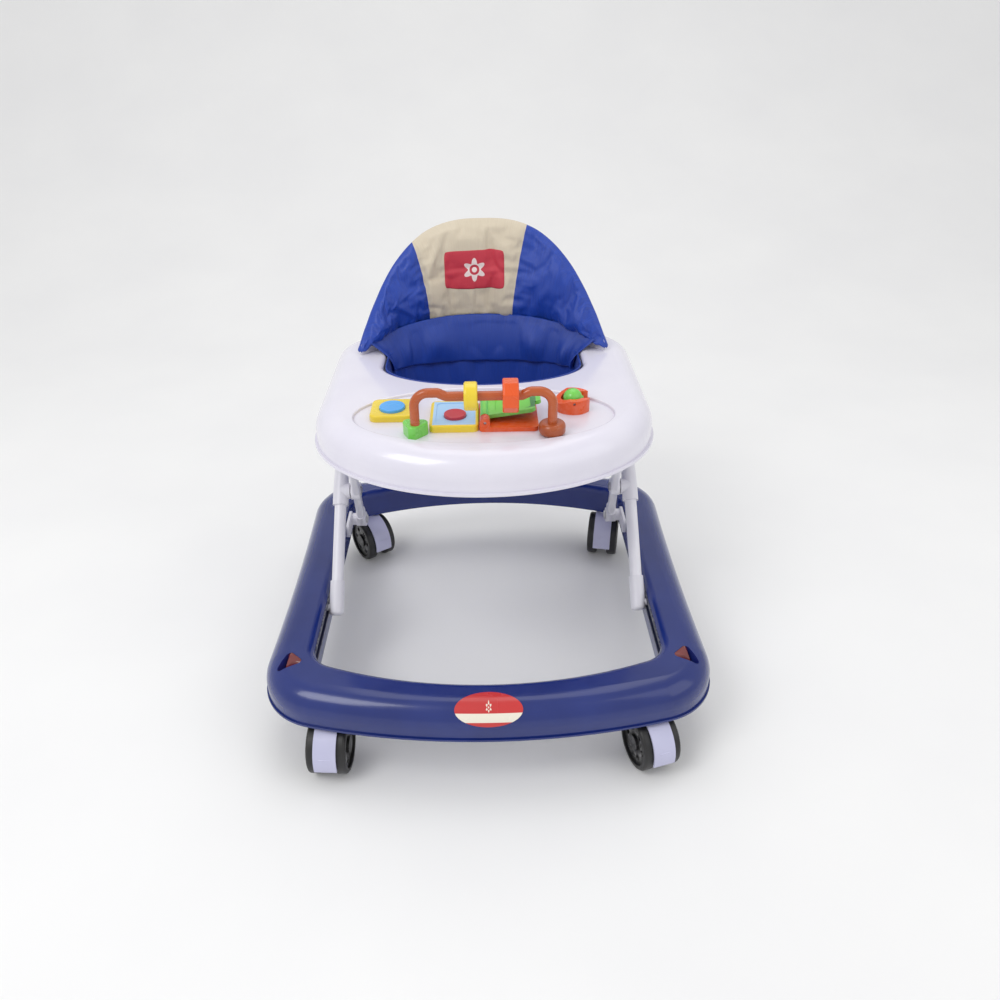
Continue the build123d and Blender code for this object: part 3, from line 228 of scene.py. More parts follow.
class EffectShelf:
    """The effects that several finishes share, each built once."""

    def __init__(self) -> None:
        """Builds every effect."""
        self.grain = self._grain()
        self.rub = self._rub()
        self.weave = self._weave()
        self.region = self._region()
        self.petals = self._petals()

    def _grain(self) -> Effect:
        """Fine mould texture and a slow cloud of tone."""
        effect = Effect(
            "moulded_grain", {"Fine Scale": SocketKind.NUMBER, "Cloud Scale": SocketKind.NUMBER}, ("Grain", "Cloud")
        )
        tree = effect.tree
        place = tree.place()
        tree.put(tree.noise(place, effect.ins.outputs["Fine Scale"], 3.0), effect.outs.inputs["Grain"])
        tree.put(tree.noise(place, effect.ins.outputs["Cloud Scale"], 4.0), effect.outs.inputs["Cloud"])
        return effect

    def _rub(self) -> Effect:
        """Mask of edges rubbed by hands and doorways, broken up by noise."""
        effect = Effect("edge_rub", {"Start": SocketKind.NUMBER, "Breakup Scale": SocketKind.NUMBER}, ("Mask",))
        tree = effect.tree
        bend = tree.add("ShaderNodeNewGeometry").outputs["Pointiness"]
        lift = tree.math("SUBTRACT", bend, effect.ins.outputs["Start"])
        edge = tree.remap(lift, 0.0, 0.05, 0.0, 1.0)
        speck = tree.remap(tree.noise(tree.place(), effect.ins.outputs["Breakup Scale"], 5.0), 0.42, 0.62, 0.0, 1.0)
        tree.put(tree.math("MULTIPLY", edge, speck), effect.outs.inputs["Mask"])
        return effect

    def _weave(self) -> Effect:
        """Plain weave that runs round the seat: height of the threads and slow streaks of painted shade."""
        effect = Effect("plain_weave", {"Threads": SocketKind.NUMBER, "Centre": SocketKind.VECTOR}, ("Height", "Streak Shade"))
        tree = effect.tree
        shift = tree.add("ShaderNodeVectorMath", operation="SUBTRACT")
        tree.put(tree.place(), shift.inputs[0])
        tree.put(effect.ins.outputs["Centre"], shift.inputs[1])
        x, y, z = tree.axes(shift.outputs[0])
        turn = tree.math("ARCTAN2", x, y)
        pitch = tree.math("MULTIPLY", effect.ins.outputs["Threads"], 2.0 * math.pi)
        warp = tree.math("SINE", tree.math("MULTIPLY", tree.math("MULTIPLY", turn, 0.16), pitch))
        weft = tree.math("SINE", tree.math("MULTIPLY", z, pitch))
        tree.put(tree.math("MULTIPLY_ADD", tree.math("MULTIPLY", warp, weft), 0.5, 0.5), effect.outs.inputs["Height"])
        # Painted shade: noise stretched up the cloth gives soft upright streaks that darken the colour where it is
        # used.
        stretched = tree.add("ShaderNodeCombineXYZ")
        tree.put(tree.math("MULTIPLY", turn, 60.0), stretched.inputs[0])
        tree.put(tree.math("MULTIPLY", z, 9.0), stretched.inputs[1])
        tree.put(tree.noise(stretched.outputs[0], 3.0, 3.0), effect.outs.inputs["Streak Shade"])
        return effect

    def _region(self) -> Effect:
        """Mask of an upright box between two corners, for a two-shot moulding's second colour."""
        effect = Effect("box_region", {"Low": SocketKind.VECTOR, "High": SocketKind.VECTOR}, ("Mask",))
        tree = effect.tree
        place = tree.place()
        gaps = []
        for first, second in ((place, effect.ins.outputs["Low"]), (effect.ins.outputs["High"], place)):
            node = tree.add("ShaderNodeVectorMath", operation="SUBTRACT")
            tree.put(first, node.inputs[0])
            tree.put(second, node.inputs[1])
            gaps.extend(tree.axes(node.outputs[0]))
        least = gaps[0]
        for gap in gaps[1:]:
            least = tree.math("MINIMUM", least, gap)
        tree.put(tree.remap(least, 0.0, 0.0003, 0.0, 1.0), effect.outs.inputs["Mask"])
        return effect

    def _petals(self) -> Effect:
        """Mask of a printed flower that faces forwards, with a ring round its heart."""
        effect = Effect("petal_print", {"Centre": SocketKind.VECTOR, "Radius": SocketKind.NUMBER}, ("Mask",))
        tree = effect.tree
        shift = tree.add("ShaderNodeVectorMath", operation="SUBTRACT")
        tree.put(tree.place(), shift.inputs[0])
        tree.put(effect.ins.outputs["Centre"], shift.inputs[1])
        x, _, z = tree.axes(shift.outputs[0])
        reach = tree.math("SQRT", tree.math("ADD", tree.math("MULTIPLY", x, x), tree.math("MULTIPLY", z, z)))
        wave = tree.math("COSINE", tree.math("MULTIPLY", tree.math("ARCTAN2", x, z), 6.0))
        edge = tree.math("MULTIPLY", tree.math("MULTIPLY_ADD", wave, 0.22, 0.78), effect.ins.outputs["Radius"])
        inside = tree.remap(tree.math("SUBTRACT", edge, reach), 0.0, 0.0006, 0.0, 1.0)
        heart = tree.math("MULTIPLY", effect.ins.outputs["Radius"], 0.32)
        ring = tree.math("ABSOLUTE", tree.math("SUBTRACT", reach, heart))
        band = tree.remap(tree.math("SUBTRACT", ring, tree.math("MULTIPLY", heart, 0.28)), 0.0, 0.0005, 0.0, 1.0)
        tree.put(tree.math("MULTIPLY", inside, band), effect.outs.inputs["Mask"])
        return effect


# ---- finishes --------------------------------------------------------------------------
@dataclass(frozen=True)
class Accent:
    """A second colour inside a box, moulded or printed.

    Attributes:
        colour: the second colour.
        low: the box's low corner, in metres.
        high: the box's high corner, in metres.
    """

    colour: Colour
    low: tuple[float, float, float]
    high: tuple[float, float, float]


@dataclass(frozen=True)
class Moulded:
    """Injection-moulded plastic or powder-coated metal.

    Attributes:
        name: the material's name.
        colour: main colour.
        shade: tone it drifts to in slow clouds.
        rough: roughness.
        coat: clear gloss layer.
        grain: fine texture height, in metres.
        rubbed: how strongly the edges are rubbed paler.
        metal: metallic share.
        accents: second colours.
    """

    name: str
    colour: Colour
    shade: Colour
    rough: float = 0.28
    coat: float = 0.25
    grain: float = 0.00003
    rubbed: float = 0.25
    metal: float = 0.0
    accents: tuple[Accent, ...] = ()

    def make(self, shelf: EffectShelf) -> bpy.types.Material:
        """Builds the material.

        Args:
            shelf: the shared effects.

        Returns:
            The material.
        """
        material = bpy.data.materials.new(self.name)
        material.use_nodes = True
        tree = Tree(material.node_tree)
        shader = material.node_tree.nodes["Principled BSDF"]
        grain = shelf.grain.use(tree, Fine_Scale=900.0, Cloud_Scale=14.0)
        rub = shelf.rub.use(tree, Start=0.53, Breakup_Scale=160.0)
        tone = tree.remap(grain.outputs["Cloud"], 0.35, 0.7, 0.0, 1.0)
        colour = tree.blend(tone, self.colour, self.shade)
        for accent in self.accents:
            mask = shelf.region.use(tree, Low=accent.low, High=accent.high)
            colour = tree.blend(mask.outputs["Mask"], colour, accent.colour)
        paler = tuple(min(1.0, 0.55 * part + 0.42) for part in self.colour)
        worn = tree.math("MULTIPLY", rub.outputs["Mask"], self.rubbed)
        tree.put(tree.blend(worn, colour, paler), shader.inputs["Base Color"])
        dull = tree.remap(grain.outputs["Cloud"], 0.3, 0.75, self.rough * 0.85, self.rough * 1.25)
        tree.put(tree.math("MULTIPLY_ADD", worn, 0.35, dull), shader.inputs["Roughness"])
        bump = tree.add("ShaderNodeBump")
        bump.inputs["Distance"].default_value = self.grain
        bump.inputs["Strength"].default_value = 0.6
        tree.put(grain.outputs["Grain"], bump.inputs["Height"])
        tree.put(bump.outputs[0], shader.inputs["Normal"])
        shader.inputs["Coat Weight"].default_value = self.coat
        shader.inputs["Coat Roughness"].default_value = 0.08
        shader.inputs["Metallic"].default_value = self.metal
        return material


@dataclass(frozen=True)
class Woven:
    """Woven cloth with a sheen.

    Attributes:
        name: the material's name.
        colour: colour of the lit threads.
        shade: darker copy of the colour, painted as shade in soft streaks and in the hollows between threads.
        threads: threads per metre.
        rough: roughness.
        sheen: strength of the nap's sheen.
        centre: the axis the weave runs round.
        print_colour: colour of a printed flower, if any.
        print_at: the flower's centre.
        print_radius: the flower's radius.
    """

    name: str
    colour: Colour
    shade: Colour
    threads: float = 950.0
    rough: float = 0.5
    sheen: float = 0.35
    centre: tuple[float, float, float] = (0.0, 0.15, 0.0)
    print_colour: Optional[Colour] = None
    print_at: tuple[float, float, float] = (0.0, 0.0, 0.0)
    print_radius: float = 0.015

    def make(self, shelf: EffectShelf) -> bpy.types.Material:
        """Builds the material.

        Args:
            shelf: the shared effects.

        Returns:
            The material.
        """
        material = bpy.data.materials.new(self.name)
        material.use_nodes = True
        tree = Tree(material.node_tree)
        shader = material.node_tree.nodes["Principled BSDF"]
        weave = shelf.weave.use(tree, Threads=self.threads, Centre=self.centre)
        grain = shelf.grain.use(tree, Fine_Scale=1400.0, Cloud_Scale=22.0)
        # Painted shade: the streak noise darkens the colour towards the shade copy.
        painted_streaks = tree.remap(weave.outputs["Streak Shade"], 0.3, 0.7, 0.0, 0.55)
        colour = tree.blend(painted_streaks, self.colour, self.shade)
        # Painted shade: the hollows between threads are darkened towards the shade copy.
        thread_gap_shade = tree.remap(weave.outputs["Height"], 0.0, 1.0, 0.28, 0.0)
        colour = tree.blend(thread_gap_shade, colour, self.shade)
        if self.print_colour is not None:
            mark = shelf.petals.use(tree, Centre=self.print_at, Radius=self.print_radius)
            colour = tree.blend(mark.outputs["Mask"], colour, self.print_colour)
        tree.put(colour, shader.inputs["Base Color"])
        tree.put(
            tree.remap(grain.outputs["Cloud"], 0.3, 0.7, self.rough * 0.85, self.rough * 1.2),
            shader.inputs["Roughness"],
        )
        bump = tree.add("ShaderNodeBump")
        bump.inputs["Distance"].default_value = 0.0002
        bump.inputs["Strength"].default_value = 0.5
        height = tree.math("MULTIPLY_ADD", grain.outputs["Grain"], 0.5, weave.outputs["Height"])
        tree.put(height, bump.inputs["Height"])
        tree.put(bump.outputs[0], shader.inputs["Normal"])
        shader.inputs["Sheen Weight"].default_value = self.sheen
        shader.inputs["Sheen Roughness"].default_value = 0.35
        return material


@dataclass(frozen=True)
class BadgeFilm:
    """Printed oval film: red ends, a pale band across and a small flower.

    Attributes:
        name: the material's name.
        red: colour of the field.
        pale: colour of the band.
        low: low corner of the badge, in metres.
        high: high corner of the badge, in metres.
    """

    name: str
    red: Colour
    pale: Colour
    low: tuple[float, float, float]
    high: tuple[float, float, float]

    def make(self, shelf: EffectShelf) -> bpy.types.Material:
        """Builds the material.

        Args:
            shelf: the shared effects.

        Returns:
            The material.
        """
        material = bpy.data.materials.new(self.name)
        material.use_nodes = True
        tree = Tree(material.node_tree)
        shader = material.node_tree.nodes["Principled BSDF"]
        middle = [(a + b) / 2 for a, b in zip(self.low, self.high)]
        tall = self.high[2] - self.low[2]
        band = shelf.region.use(
            tree,
            Low=(self.low[0] - 1, self.low[1] - 1, middle[2] - 0.26 * tall),
            High=(self.high[0] + 1, self.high[1] + 1, middle[2] + 0.12 * tall),
        )
        flower = shelf.petals.use(tree, Centre=(middle[0], 0.0, middle[2] + 0.3 * tall), Radius=0.16 * tall)
        grain = shelf.grain.use(tree, Fine_Scale=700.0, Cloud_Scale=30.0)
        tone = tree.remap(grain.outputs["Cloud"], 0.3, 0.7, 0.0, 0.25)
        colour = tree.blend(tone, self.red, tuple(0.7 * part for part in self.red))
        colour = tree.blend(band.outputs["Mask"], colour, self.pale)
        colour = tree.blend(flower.outputs["Mask"], colour, self.pale)
        tree.put(colour, shader.inputs["Base Color"])
        tree.put(tree.remap(grain.outputs["Cloud"], 0.3, 0.7, 0.2, 0.34), shader.inputs["Roughness"])
        bump = tree.add("ShaderNodeBump")
        bump.inputs["Distance"].default_value = 0.00002
        tree.put(grain.outputs["Grain"], bump.inputs["Height"])
        tree.put(bump.outputs[0], shader.inputs["Normal"])
        shader.inputs["Coat Weight"].default_value = 0.4
        return material


# ---- mesh helpers ----------------------------------------------------------------------
def new_object(name: str, points: list[Vector], faces: list[tuple[int, ...]]) -> bpy.types.Object:
    """Makes a mesh object from points and faces.

    Args:
        name: the piece's name.
        points: vertex places, in metres.
        faces: vertex numbers of each face.

    Returns:
        The object, linked to the scene.
    """
    mesh = bpy.data.meshes.new(name)
    mesh.from_pydata([tuple(point) for point in points], [], faces)
    mesh.update()
    piece = bpy.data.objects.new(name, mesh)
    bpy.context.scene.collection.objects.link(piece)
    return piece


def take(piece: bpy.types.Object) -> None:
    """Makes a piece the only selected and active object."""
    bpy.ops.object.select_all(action="DESELECT")
    piece.select_set(True)
    bpy.context.view_layer.objects.active = piece


def settle(piece: bpy.types.Object) -> None:
    """Merges doubles and turns the faces outwards."""
    take(piece)
    bpy.ops.object.mode_set(mode="EDIT")
    bpy.ops.mesh.select_all(action="SELECT")
    bpy.ops.mesh.remove_doubles(threshold=0.00005)
    bpy.ops.mesh.normals_make_consistent(inside=False)
    bpy.ops.object.mode_set(mode="OBJECT")


def finish_with(piece: bpy.types.Object, kind: str, **settings: object) -> None:
    """Adds a modifier and applies it.

    Args:
        piece: the object.
        kind: the modifier's type.
        settings: its values.
    """
    take(piece)
    modifier = piece.modifiers.new(kind.title(), kind)
    for key, value in settings.items():
        setattr(modifier, key, value)
    bpy.ops.object.modifier_apply(modifier=modifier.name)


def smooth(piece: bpy.types.Object) -> None:
    """Shades a piece smoothly."""
    take(piece)
    bpy.ops.object.shade_smooth()


def dress(piece: bpy.types.Object, *materials: bpy.types.Material) -> None:
    """Puts materials in a piece's slots, in order."""
    if len(piece.data.materials):
        piece.data.materials.clear()
    for material in materials:
        piece.data.materials.append(material)


def lerp(a: float, b: float, t: float) -> float:
    """Value between a and b."""
    return a + (b - a) * t


def ripple(along: float, across: float, seed: float) -> float:
    """Uneven wave for folds: a noise that is steady from run to run.

    Args:
        along: place along the cloth, in fold widths.
        across: place across the cloth, in fold widths.
        seed: picks the pattern.

    Returns:
        A value from about -1 to 1.
    """
    return noise.noise(Vector((along, across, seed))) * 1.6


# ---- the backrest's shape ----------------------------------------------------------------
@dataclass
class BackForm:
    """The leaning ellipse of the backrest shell, and the lines the cover is cut to.

    Attributes:
        centre_y: centre of the ellipse.
        half_w: half width at the tray.
        depth: half depth at the tray.
        lean_x: growth in half width from foot to top.
        lean_y: growth in half depth from foot to top.
        height: height over which it leans.
        end_x: half width of the cover's ends.
    """

    centre_y: float = 0.150
    half_w: float = 0.204
    depth: float = 0.112
    lean_x: float = 0.008
    lean_y: float = 0.026
    height: float = 0.184
    end_x: float = 0.190
    foot: float = field(default_factory=lambda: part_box("tray_top")[1].z)
    crest: float = field(default_factory=lambda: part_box("headrest_cover")[1].z)
    lip: float = field(default_factory=lambda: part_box("headrest_cover")[0].z)

    def radii(self, z: float) -> tuple[float, float]:
        """Half width and half depth of the shell at a height."""
        rise = (z - self.foot) / self.height
        return self.half_w + self.lean_x * rise, self.depth + self.lean_y * rise

    def point(self, turn: float, z: float, out: float) -> Vector:
        """A place on the shell's wall, moved out along its normal.

        Args:
            turn: angle round the seat, 0 at the rear.
            z: height.
            out: distance outwards from the shell's outer face.

        Returns:
            The place.
        """
        a, b = self.radii(z)
        flat = Vector((math.sin(turn) / a, math.cos(turn) / b, 0.0)).normalized()
        return Vector((a * math.sin(turn), self.centre_y + b * math.cos(turn), z)) + flat * out

    def turn_at(self, x: float, z: float) -> float:
        """Angle round the seat at which the wall has this x."""
        return math.asin(max(-1.0, min(1.0, x / self.radii(z)[0])))

    def top_at(self, x: float) -> float:
        """Height of the cover's domed top edge."""
        return self.crest - 0.046 * (abs(x) / 0.125) ** 2.88

    def low_at(self, x: float) -> float:
        """Height of the cover's gathered lower edge."""
        return self.lip + 0.0015 + 0.026 * (1.0 - (abs(x) / self.end_x) ** 2.6)


@dataclass
class PaddedBand:
    """The padded cover over the shell: a thick front, a thin back, two seams and gathers.

    Attributes:
        form: the backrest's shape.
        columns: columns in the left side, the centre and the right side.
        rows: rows up the front.
        pad: how far the front pad swells.
        middle: x of the centre panel's middle.
        top_half: half width of the centre panel at the top.
        low_half: half width of the centre panel at the lower edge.
        swell_limit: how far the simulation may move a point.
    """

    form: BackForm
    columns: tuple[int, int, int] = (50, 44, 50)
    rows: int = 30
    pad: float = 0.0125
    middle: float = -0.018
    top_half: float = 0.089
    low_half: float = 0.066
    swell_limit: float = 0.006

    def seam_turn(self, side: int, share: float) -> float:
        """Angle of a seam at a height share.

        Args:
            side: -1 for the left seam, 1 for the right.
            share: 0 at the lower edge, 1 at the top.

        Returns:
            The angle round the seat.
        """
        x = self.middle + side * lerp(self.low_half, self.top_half, share**1.25)
        return self.form.turn_at(x, lerp(self.form.lip + 0.025, self.form.crest, share))

    def turn(self, column: int, share: float) -> float:
        """Angle of a column, so that the seams fall on whole columns.

        Args:
            column: column number.
            share: 0 at the lower edge, 1 at the top.

        Returns:
            The angle round the seat.
        """
        left, centre, right = self.columns
        end = self.form.turn_at(self.form.end_x, self.form.foot)
        first, second = self.seam_turn(-1, share), self.seam_turn(1, share)
        if column <= left:
            return lerp(-end, first, column / left)
        if column <= left + centre:
            return lerp(first, second, (column - left) / centre)
        return lerp(second, end, (column - left - centre) / right)

    def swell(self, column: int, share: float, turn: float) -> float:
        """How far the front pad stands inwards, with its gathers and soft folds.

        Args:
            column: column number.
            share: 0 at the lower edge, 1 at the top.
            turn: angle round the seat.

        Returns:
            Distance inwards.
        """
        left, centre, _ = self.columns
        total = sum(self.columns)
        along = turn * 0.16
        crown = max(0.0, 1.0 - abs(2.0 * share - 1.0) ** 3.4) ** 0.6
        ends = min(1.0, min(column, total - column) / 7.0) ** 0.5
        from_seam = min(abs(column - left), abs(column - left - centre)) * 0.0035
        crease = 1.0 - 0.34 * math.exp(-((from_seam / 0.006) ** 2))
        gather = 0.0034 * math.exp(-share / 0.13) * (ripple(along / 0.010, share * 2.0, 3.1) + 0.25)
        tuck = 0.0026 * math.exp(-(1.0 - share) / 0.1) * ripple(along / 0.014, 0.0, 8.4)
        soft = 0.0058 * ripple(along / 0.034, share * 1.6, 1.7) * (0.45 + abs(2.0 * share - 1.0))
        pucker = 0.0020 * math.exp(-from_seam / 0.009) * ripple(share * 16.0, along / 0.02, 5.5)
        return self.pad * crown * ends * crease + (gather + tuck + soft + pucker) * ends * (0.3 + 0.7 * crown)

    def loops(self, column: int) -> list[Vector]:
        """The pocket's section at one column, outer skin first, then the inner skin back.

        Args:
            column: column number.

        Returns:
            Places round the section.
        """
        form, rows = self.form, self.rows
        outer: list[Vector] = []
        inner: list[Vector] = []
        for step in range(rows + 1):
            share = step / rows
            turn = self.turn(column, share)
            x = form.point(turn, form.crest, 0.0).x
            wave = 0.0022 * ripple(turn * 16.0, 0.0, 9.2)
            z = lerp(form.low_at(x) + wave, form.top_at(x), share)
            crown = max(0.0, 1.0 - abs(2.0 * share - 1.0) ** 4.0)
            outer.append(form.point(turn, z, -0.0052 - self.swell(column, share, turn)))
            inner.append(form.point(turn, min(z + 0.0006, form.top_at(x) - 0.005), -0.0038))
            outer.append(form.point(turn, z, 0.0016 + 0.0022 * crown + 0.0007 * ripple(turn * 7.0, z * 30.0, 2.6)))
            inner.append(form.point(turn, min(z + 0.0006, form.top_at(x) - 0.005), 0.0006))
        front, back = outer[0::2], outer[1::2]
        front_in, back_in = inner[0::2], inner[1::2]
        ridge = (front[-1] + back[-1]) / 2 + Vector((0.0, 0.0, 0.0028))
        ridge_in = (front_in[-1] + back_in[-1]) / 2 + Vector((0.0, 0.0, 0.0006))
        return front + [ridge] + back[::-1] + back_in + [ridge_in] + front_in[::-1]

    def sew(self) -> bpy.types.Object:
        """Builds the closed pocket, with the centre panel's faces marked for their own cloth.

        Returns:
            The piece.
        """
        total = sum(self.columns)
        sections = [self.loops(column) for column in range(total + 1)]
        size = len(sections[0])
        points = [point for section in sections for point in section]
        faces = []
        for column in range(total):
            for step in range(size):
                a = column * size + step
                b = column * size + (step + 1) % size
                faces.append((a, b, b + size, a + size))
        for column in (0, total):
            for step in range(size // 2 - 1):
                a, b = column * size + step, column * size + step + 1
                c, d = (column + 1) * size - 2 - step, (column + 1) * size - 1 - step
                faces.append((a, b, c, d))
        piece = new_object("headrest_band", points, faces)
        left, centre, _ = self.columns
        for number, face in enumerate(piece.data.polygons):
            column = number // size
            if left <= column < left + centre:
                face.material_index = 1
        group = piece.vertex_groups.new(name="sewn")
        for column in range(total + 1):
            for step in range(size):
                group.add([column * size + step], self.hold(column, step, size), "REPLACE")
        settle(piece)
        return piece

    def hold(self, column: int, step: int, size: int) -> float:
        """How firmly a point is sewn down, from 0 to 1.

        Args:
            column: column number.
            step: place round the section.
            size: places in a section.

        Returns:
            The hold.
        """
        left, centre, right = self.columns
        if step > self.rows or column in (0, left + centre + right):
            return 1.0
        if step <= 1 or step >= self.rows - 1:
            return 1.0
        if column in (left, left + centre):
            return 0.9
        return 0.0

    def stuff(self, piece: bpy.types.Object) -> None:
        """Blows the front pad up as cloth, holding the seams, and caps how far it moves.

        Args:
            piece: the sewn pocket.
        """
        scene = bpy.context.scene
        modifier = piece.modifiers.new("Cloth", "CLOTH")
        cloth = modifier.settings
        cloth.quality = 5
        cloth.mass = 0.2
        cloth.tension_stiffness = 12.0
        cloth.compression_stiffness = 12.0
        cloth.bending_stiffness = 0.12
        cloth.use_pressure = True
        cloth.uniform_pressure_force = 4.0
        cloth.shrink_min = -0.05
        cloth.vertex_group_mass = "sewn"
        cloth.effector_weights.gravity = 0.0
        modifier.point_cache.frame_start = 1
        modifier.point_cache.frame_end = 20
        for number in range(1, 21):
            scene.frame_set(number)
        blown = piece.evaluated_get(bpy.context.evaluated_depsgraph_get()).data
        places = [vertex.co.copy() for vertex in blown.vertices]
        piece.modifiers.remove(modifier)
        scene.frame_set(1)
        for vertex, place in zip(piece.data.vertices, places):
            move = place - vertex.co
            if move.length > self.swell_limit:
                move *= self.swell_limit / move.length
            vertex.co += move
        piece.data.update()

    def build(self, blue: bpy.types.Material, cream: bpy.types.Material) -> bpy.types.Object:
        """Makes, stuffs and dresses the cover.

        Args:
            blue: cloth of the sides.
            cream: cloth of the centre panel.

        Returns:
            The piece.
        """
        piece = self.sew()
        self.stuff(piece)
        finish_with(piece, "SUBSURF", levels=1, render_levels=1)
        piece.vertex_groups.clear()
        smooth(piece)
        dress(piece, blue, cream)
        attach(piece, Body.TRAY.value)
        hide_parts("headrest_cover")
        return piece


@dataclass
class BandPatch:
    """The sewn patch on the centre panel, a sheet that follows the pad.

    Attributes:
        band: the cover it is sewn on.
        width: the patch's width.
        height: the patch's height.
        middle: x and z of its middle.
        lift: how far it stands off the pad.
    """

    band: bpy.types.Object
    width: float = 0.092
    height: float = 0.058
    middle: tuple[float, float] = (-0.011, 0.506)
    lift: float = 0.0008

    def build(self, cloth: bpy.types.Material) -> bpy.types.Object:
        """Lays the patch on the pad.

        Args:
            cloth: the patch's printed cloth.

        Returns:
            The piece.
        """
        mesh = self.band.data
        tree = BVHTree.FromPolygons([v.co for v in mesh.vertices], [tuple(f.vertices) for f in mesh.polygons])
        across, up = 46, 30
        points = []
        for row in range(up + 1):
            for column in range(across + 1):
                u, v = 2.0 * column / across - 1.0, 2.0 * row / up - 1.0
                round_u = u * lerp(1.0, math.sqrt(1.0 - 0.5 * v**8), 0.16)
                round_v = v * lerp(1.0, math.sqrt(1.0 - 0.5 * u**8), 0.24)
                x = self.middle[0] + round_u * self.width / 2
                z = self.middle[1] + round_v * self.height / 2
                place, normal, _, _ = tree.ray_cast(Vector((x, -0.5, z)), Vector((0.0, 1.0, 0.0)))
                inset = min(1.0, 6.0 * min(1.0 - abs(u), 1.0 - abs(v)))
                points.append(place + normal * self.lift * (0.35 + 0.65 * inset))
        row_size = across + 1
        faces = [
            (a, a + 1, a + 1 + row_size, a + row_size)
            for row in range(up)
            for a in range(row * row_size, row * row_size + across)
        ]
        piece = new_object("headrest_patch", points, faces)
        settle(piece)
        finish_with(piece, "SOLIDIFY", thickness=0.0007, offset=1.0)
        smooth(piece)
        dress(piece, cloth)
        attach(piece, Body.TRAY.value)
        return piece


# ---- the seat ----------------------------------------------------------------------------
@dataclass
class SeatOpening:
    """Outline of the tray's opening: elliptical ends joined by straight sides.

    Attributes:
        half_w: half width.
        front_centre: y of the front ellipse's centre.
        rear_centre: y of the rear ellipse's centre.
        front: y of the front edge.
        rear: y of the rear edge.
    """

    half_w: float = field(default_factory=lambda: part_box("seat_sling")[1].x)
    front_centre: float = 0.150
    rear_centre: float = 0.190
    front: float = field(default_factory=lambda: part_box("seat_sling")[0].y)
    rear: float = field(default_factory=lambda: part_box("seat_sling")[1].y)

    def outline(self, grow: float, arc: int = 84, side: int = 5) -> list[Vector]:
        """Points round the outline, grown or shrunk evenly.

        Args:
            grow: margin.
            arc: steps in each elliptical end.
            side: steps in each straight side.

        Returns:
            Places at z 0, anticlockwise from the left side.
        """
        wide = self.half_w + grow
        points = []
        for step in range(arc):
            turn = math.pi * (1.0 + step / arc)
            deep = self.front_centre - self.front + grow
            points.append(Vector((wide * math.cos(turn), self.front_centre + deep * math.sin(turn), 0.0)))
        for step in range(side):
            points.append(Vector((wide, lerp(self.front_centre, self.rear_centre, step / side), 0.0)))
        for step in range(arc):
            turn = math.pi * step / arc
            deep = self.rear - self.rear_centre + grow
            points.append(Vector((wide * math.cos(turn), self.rear_centre + deep * math.sin(turn), 0.0)))
        for step in range(side):
            points.append(Vector((-wide, lerp(self.rear_centre, self.front_centre, step / side), 0.0)))
        return points


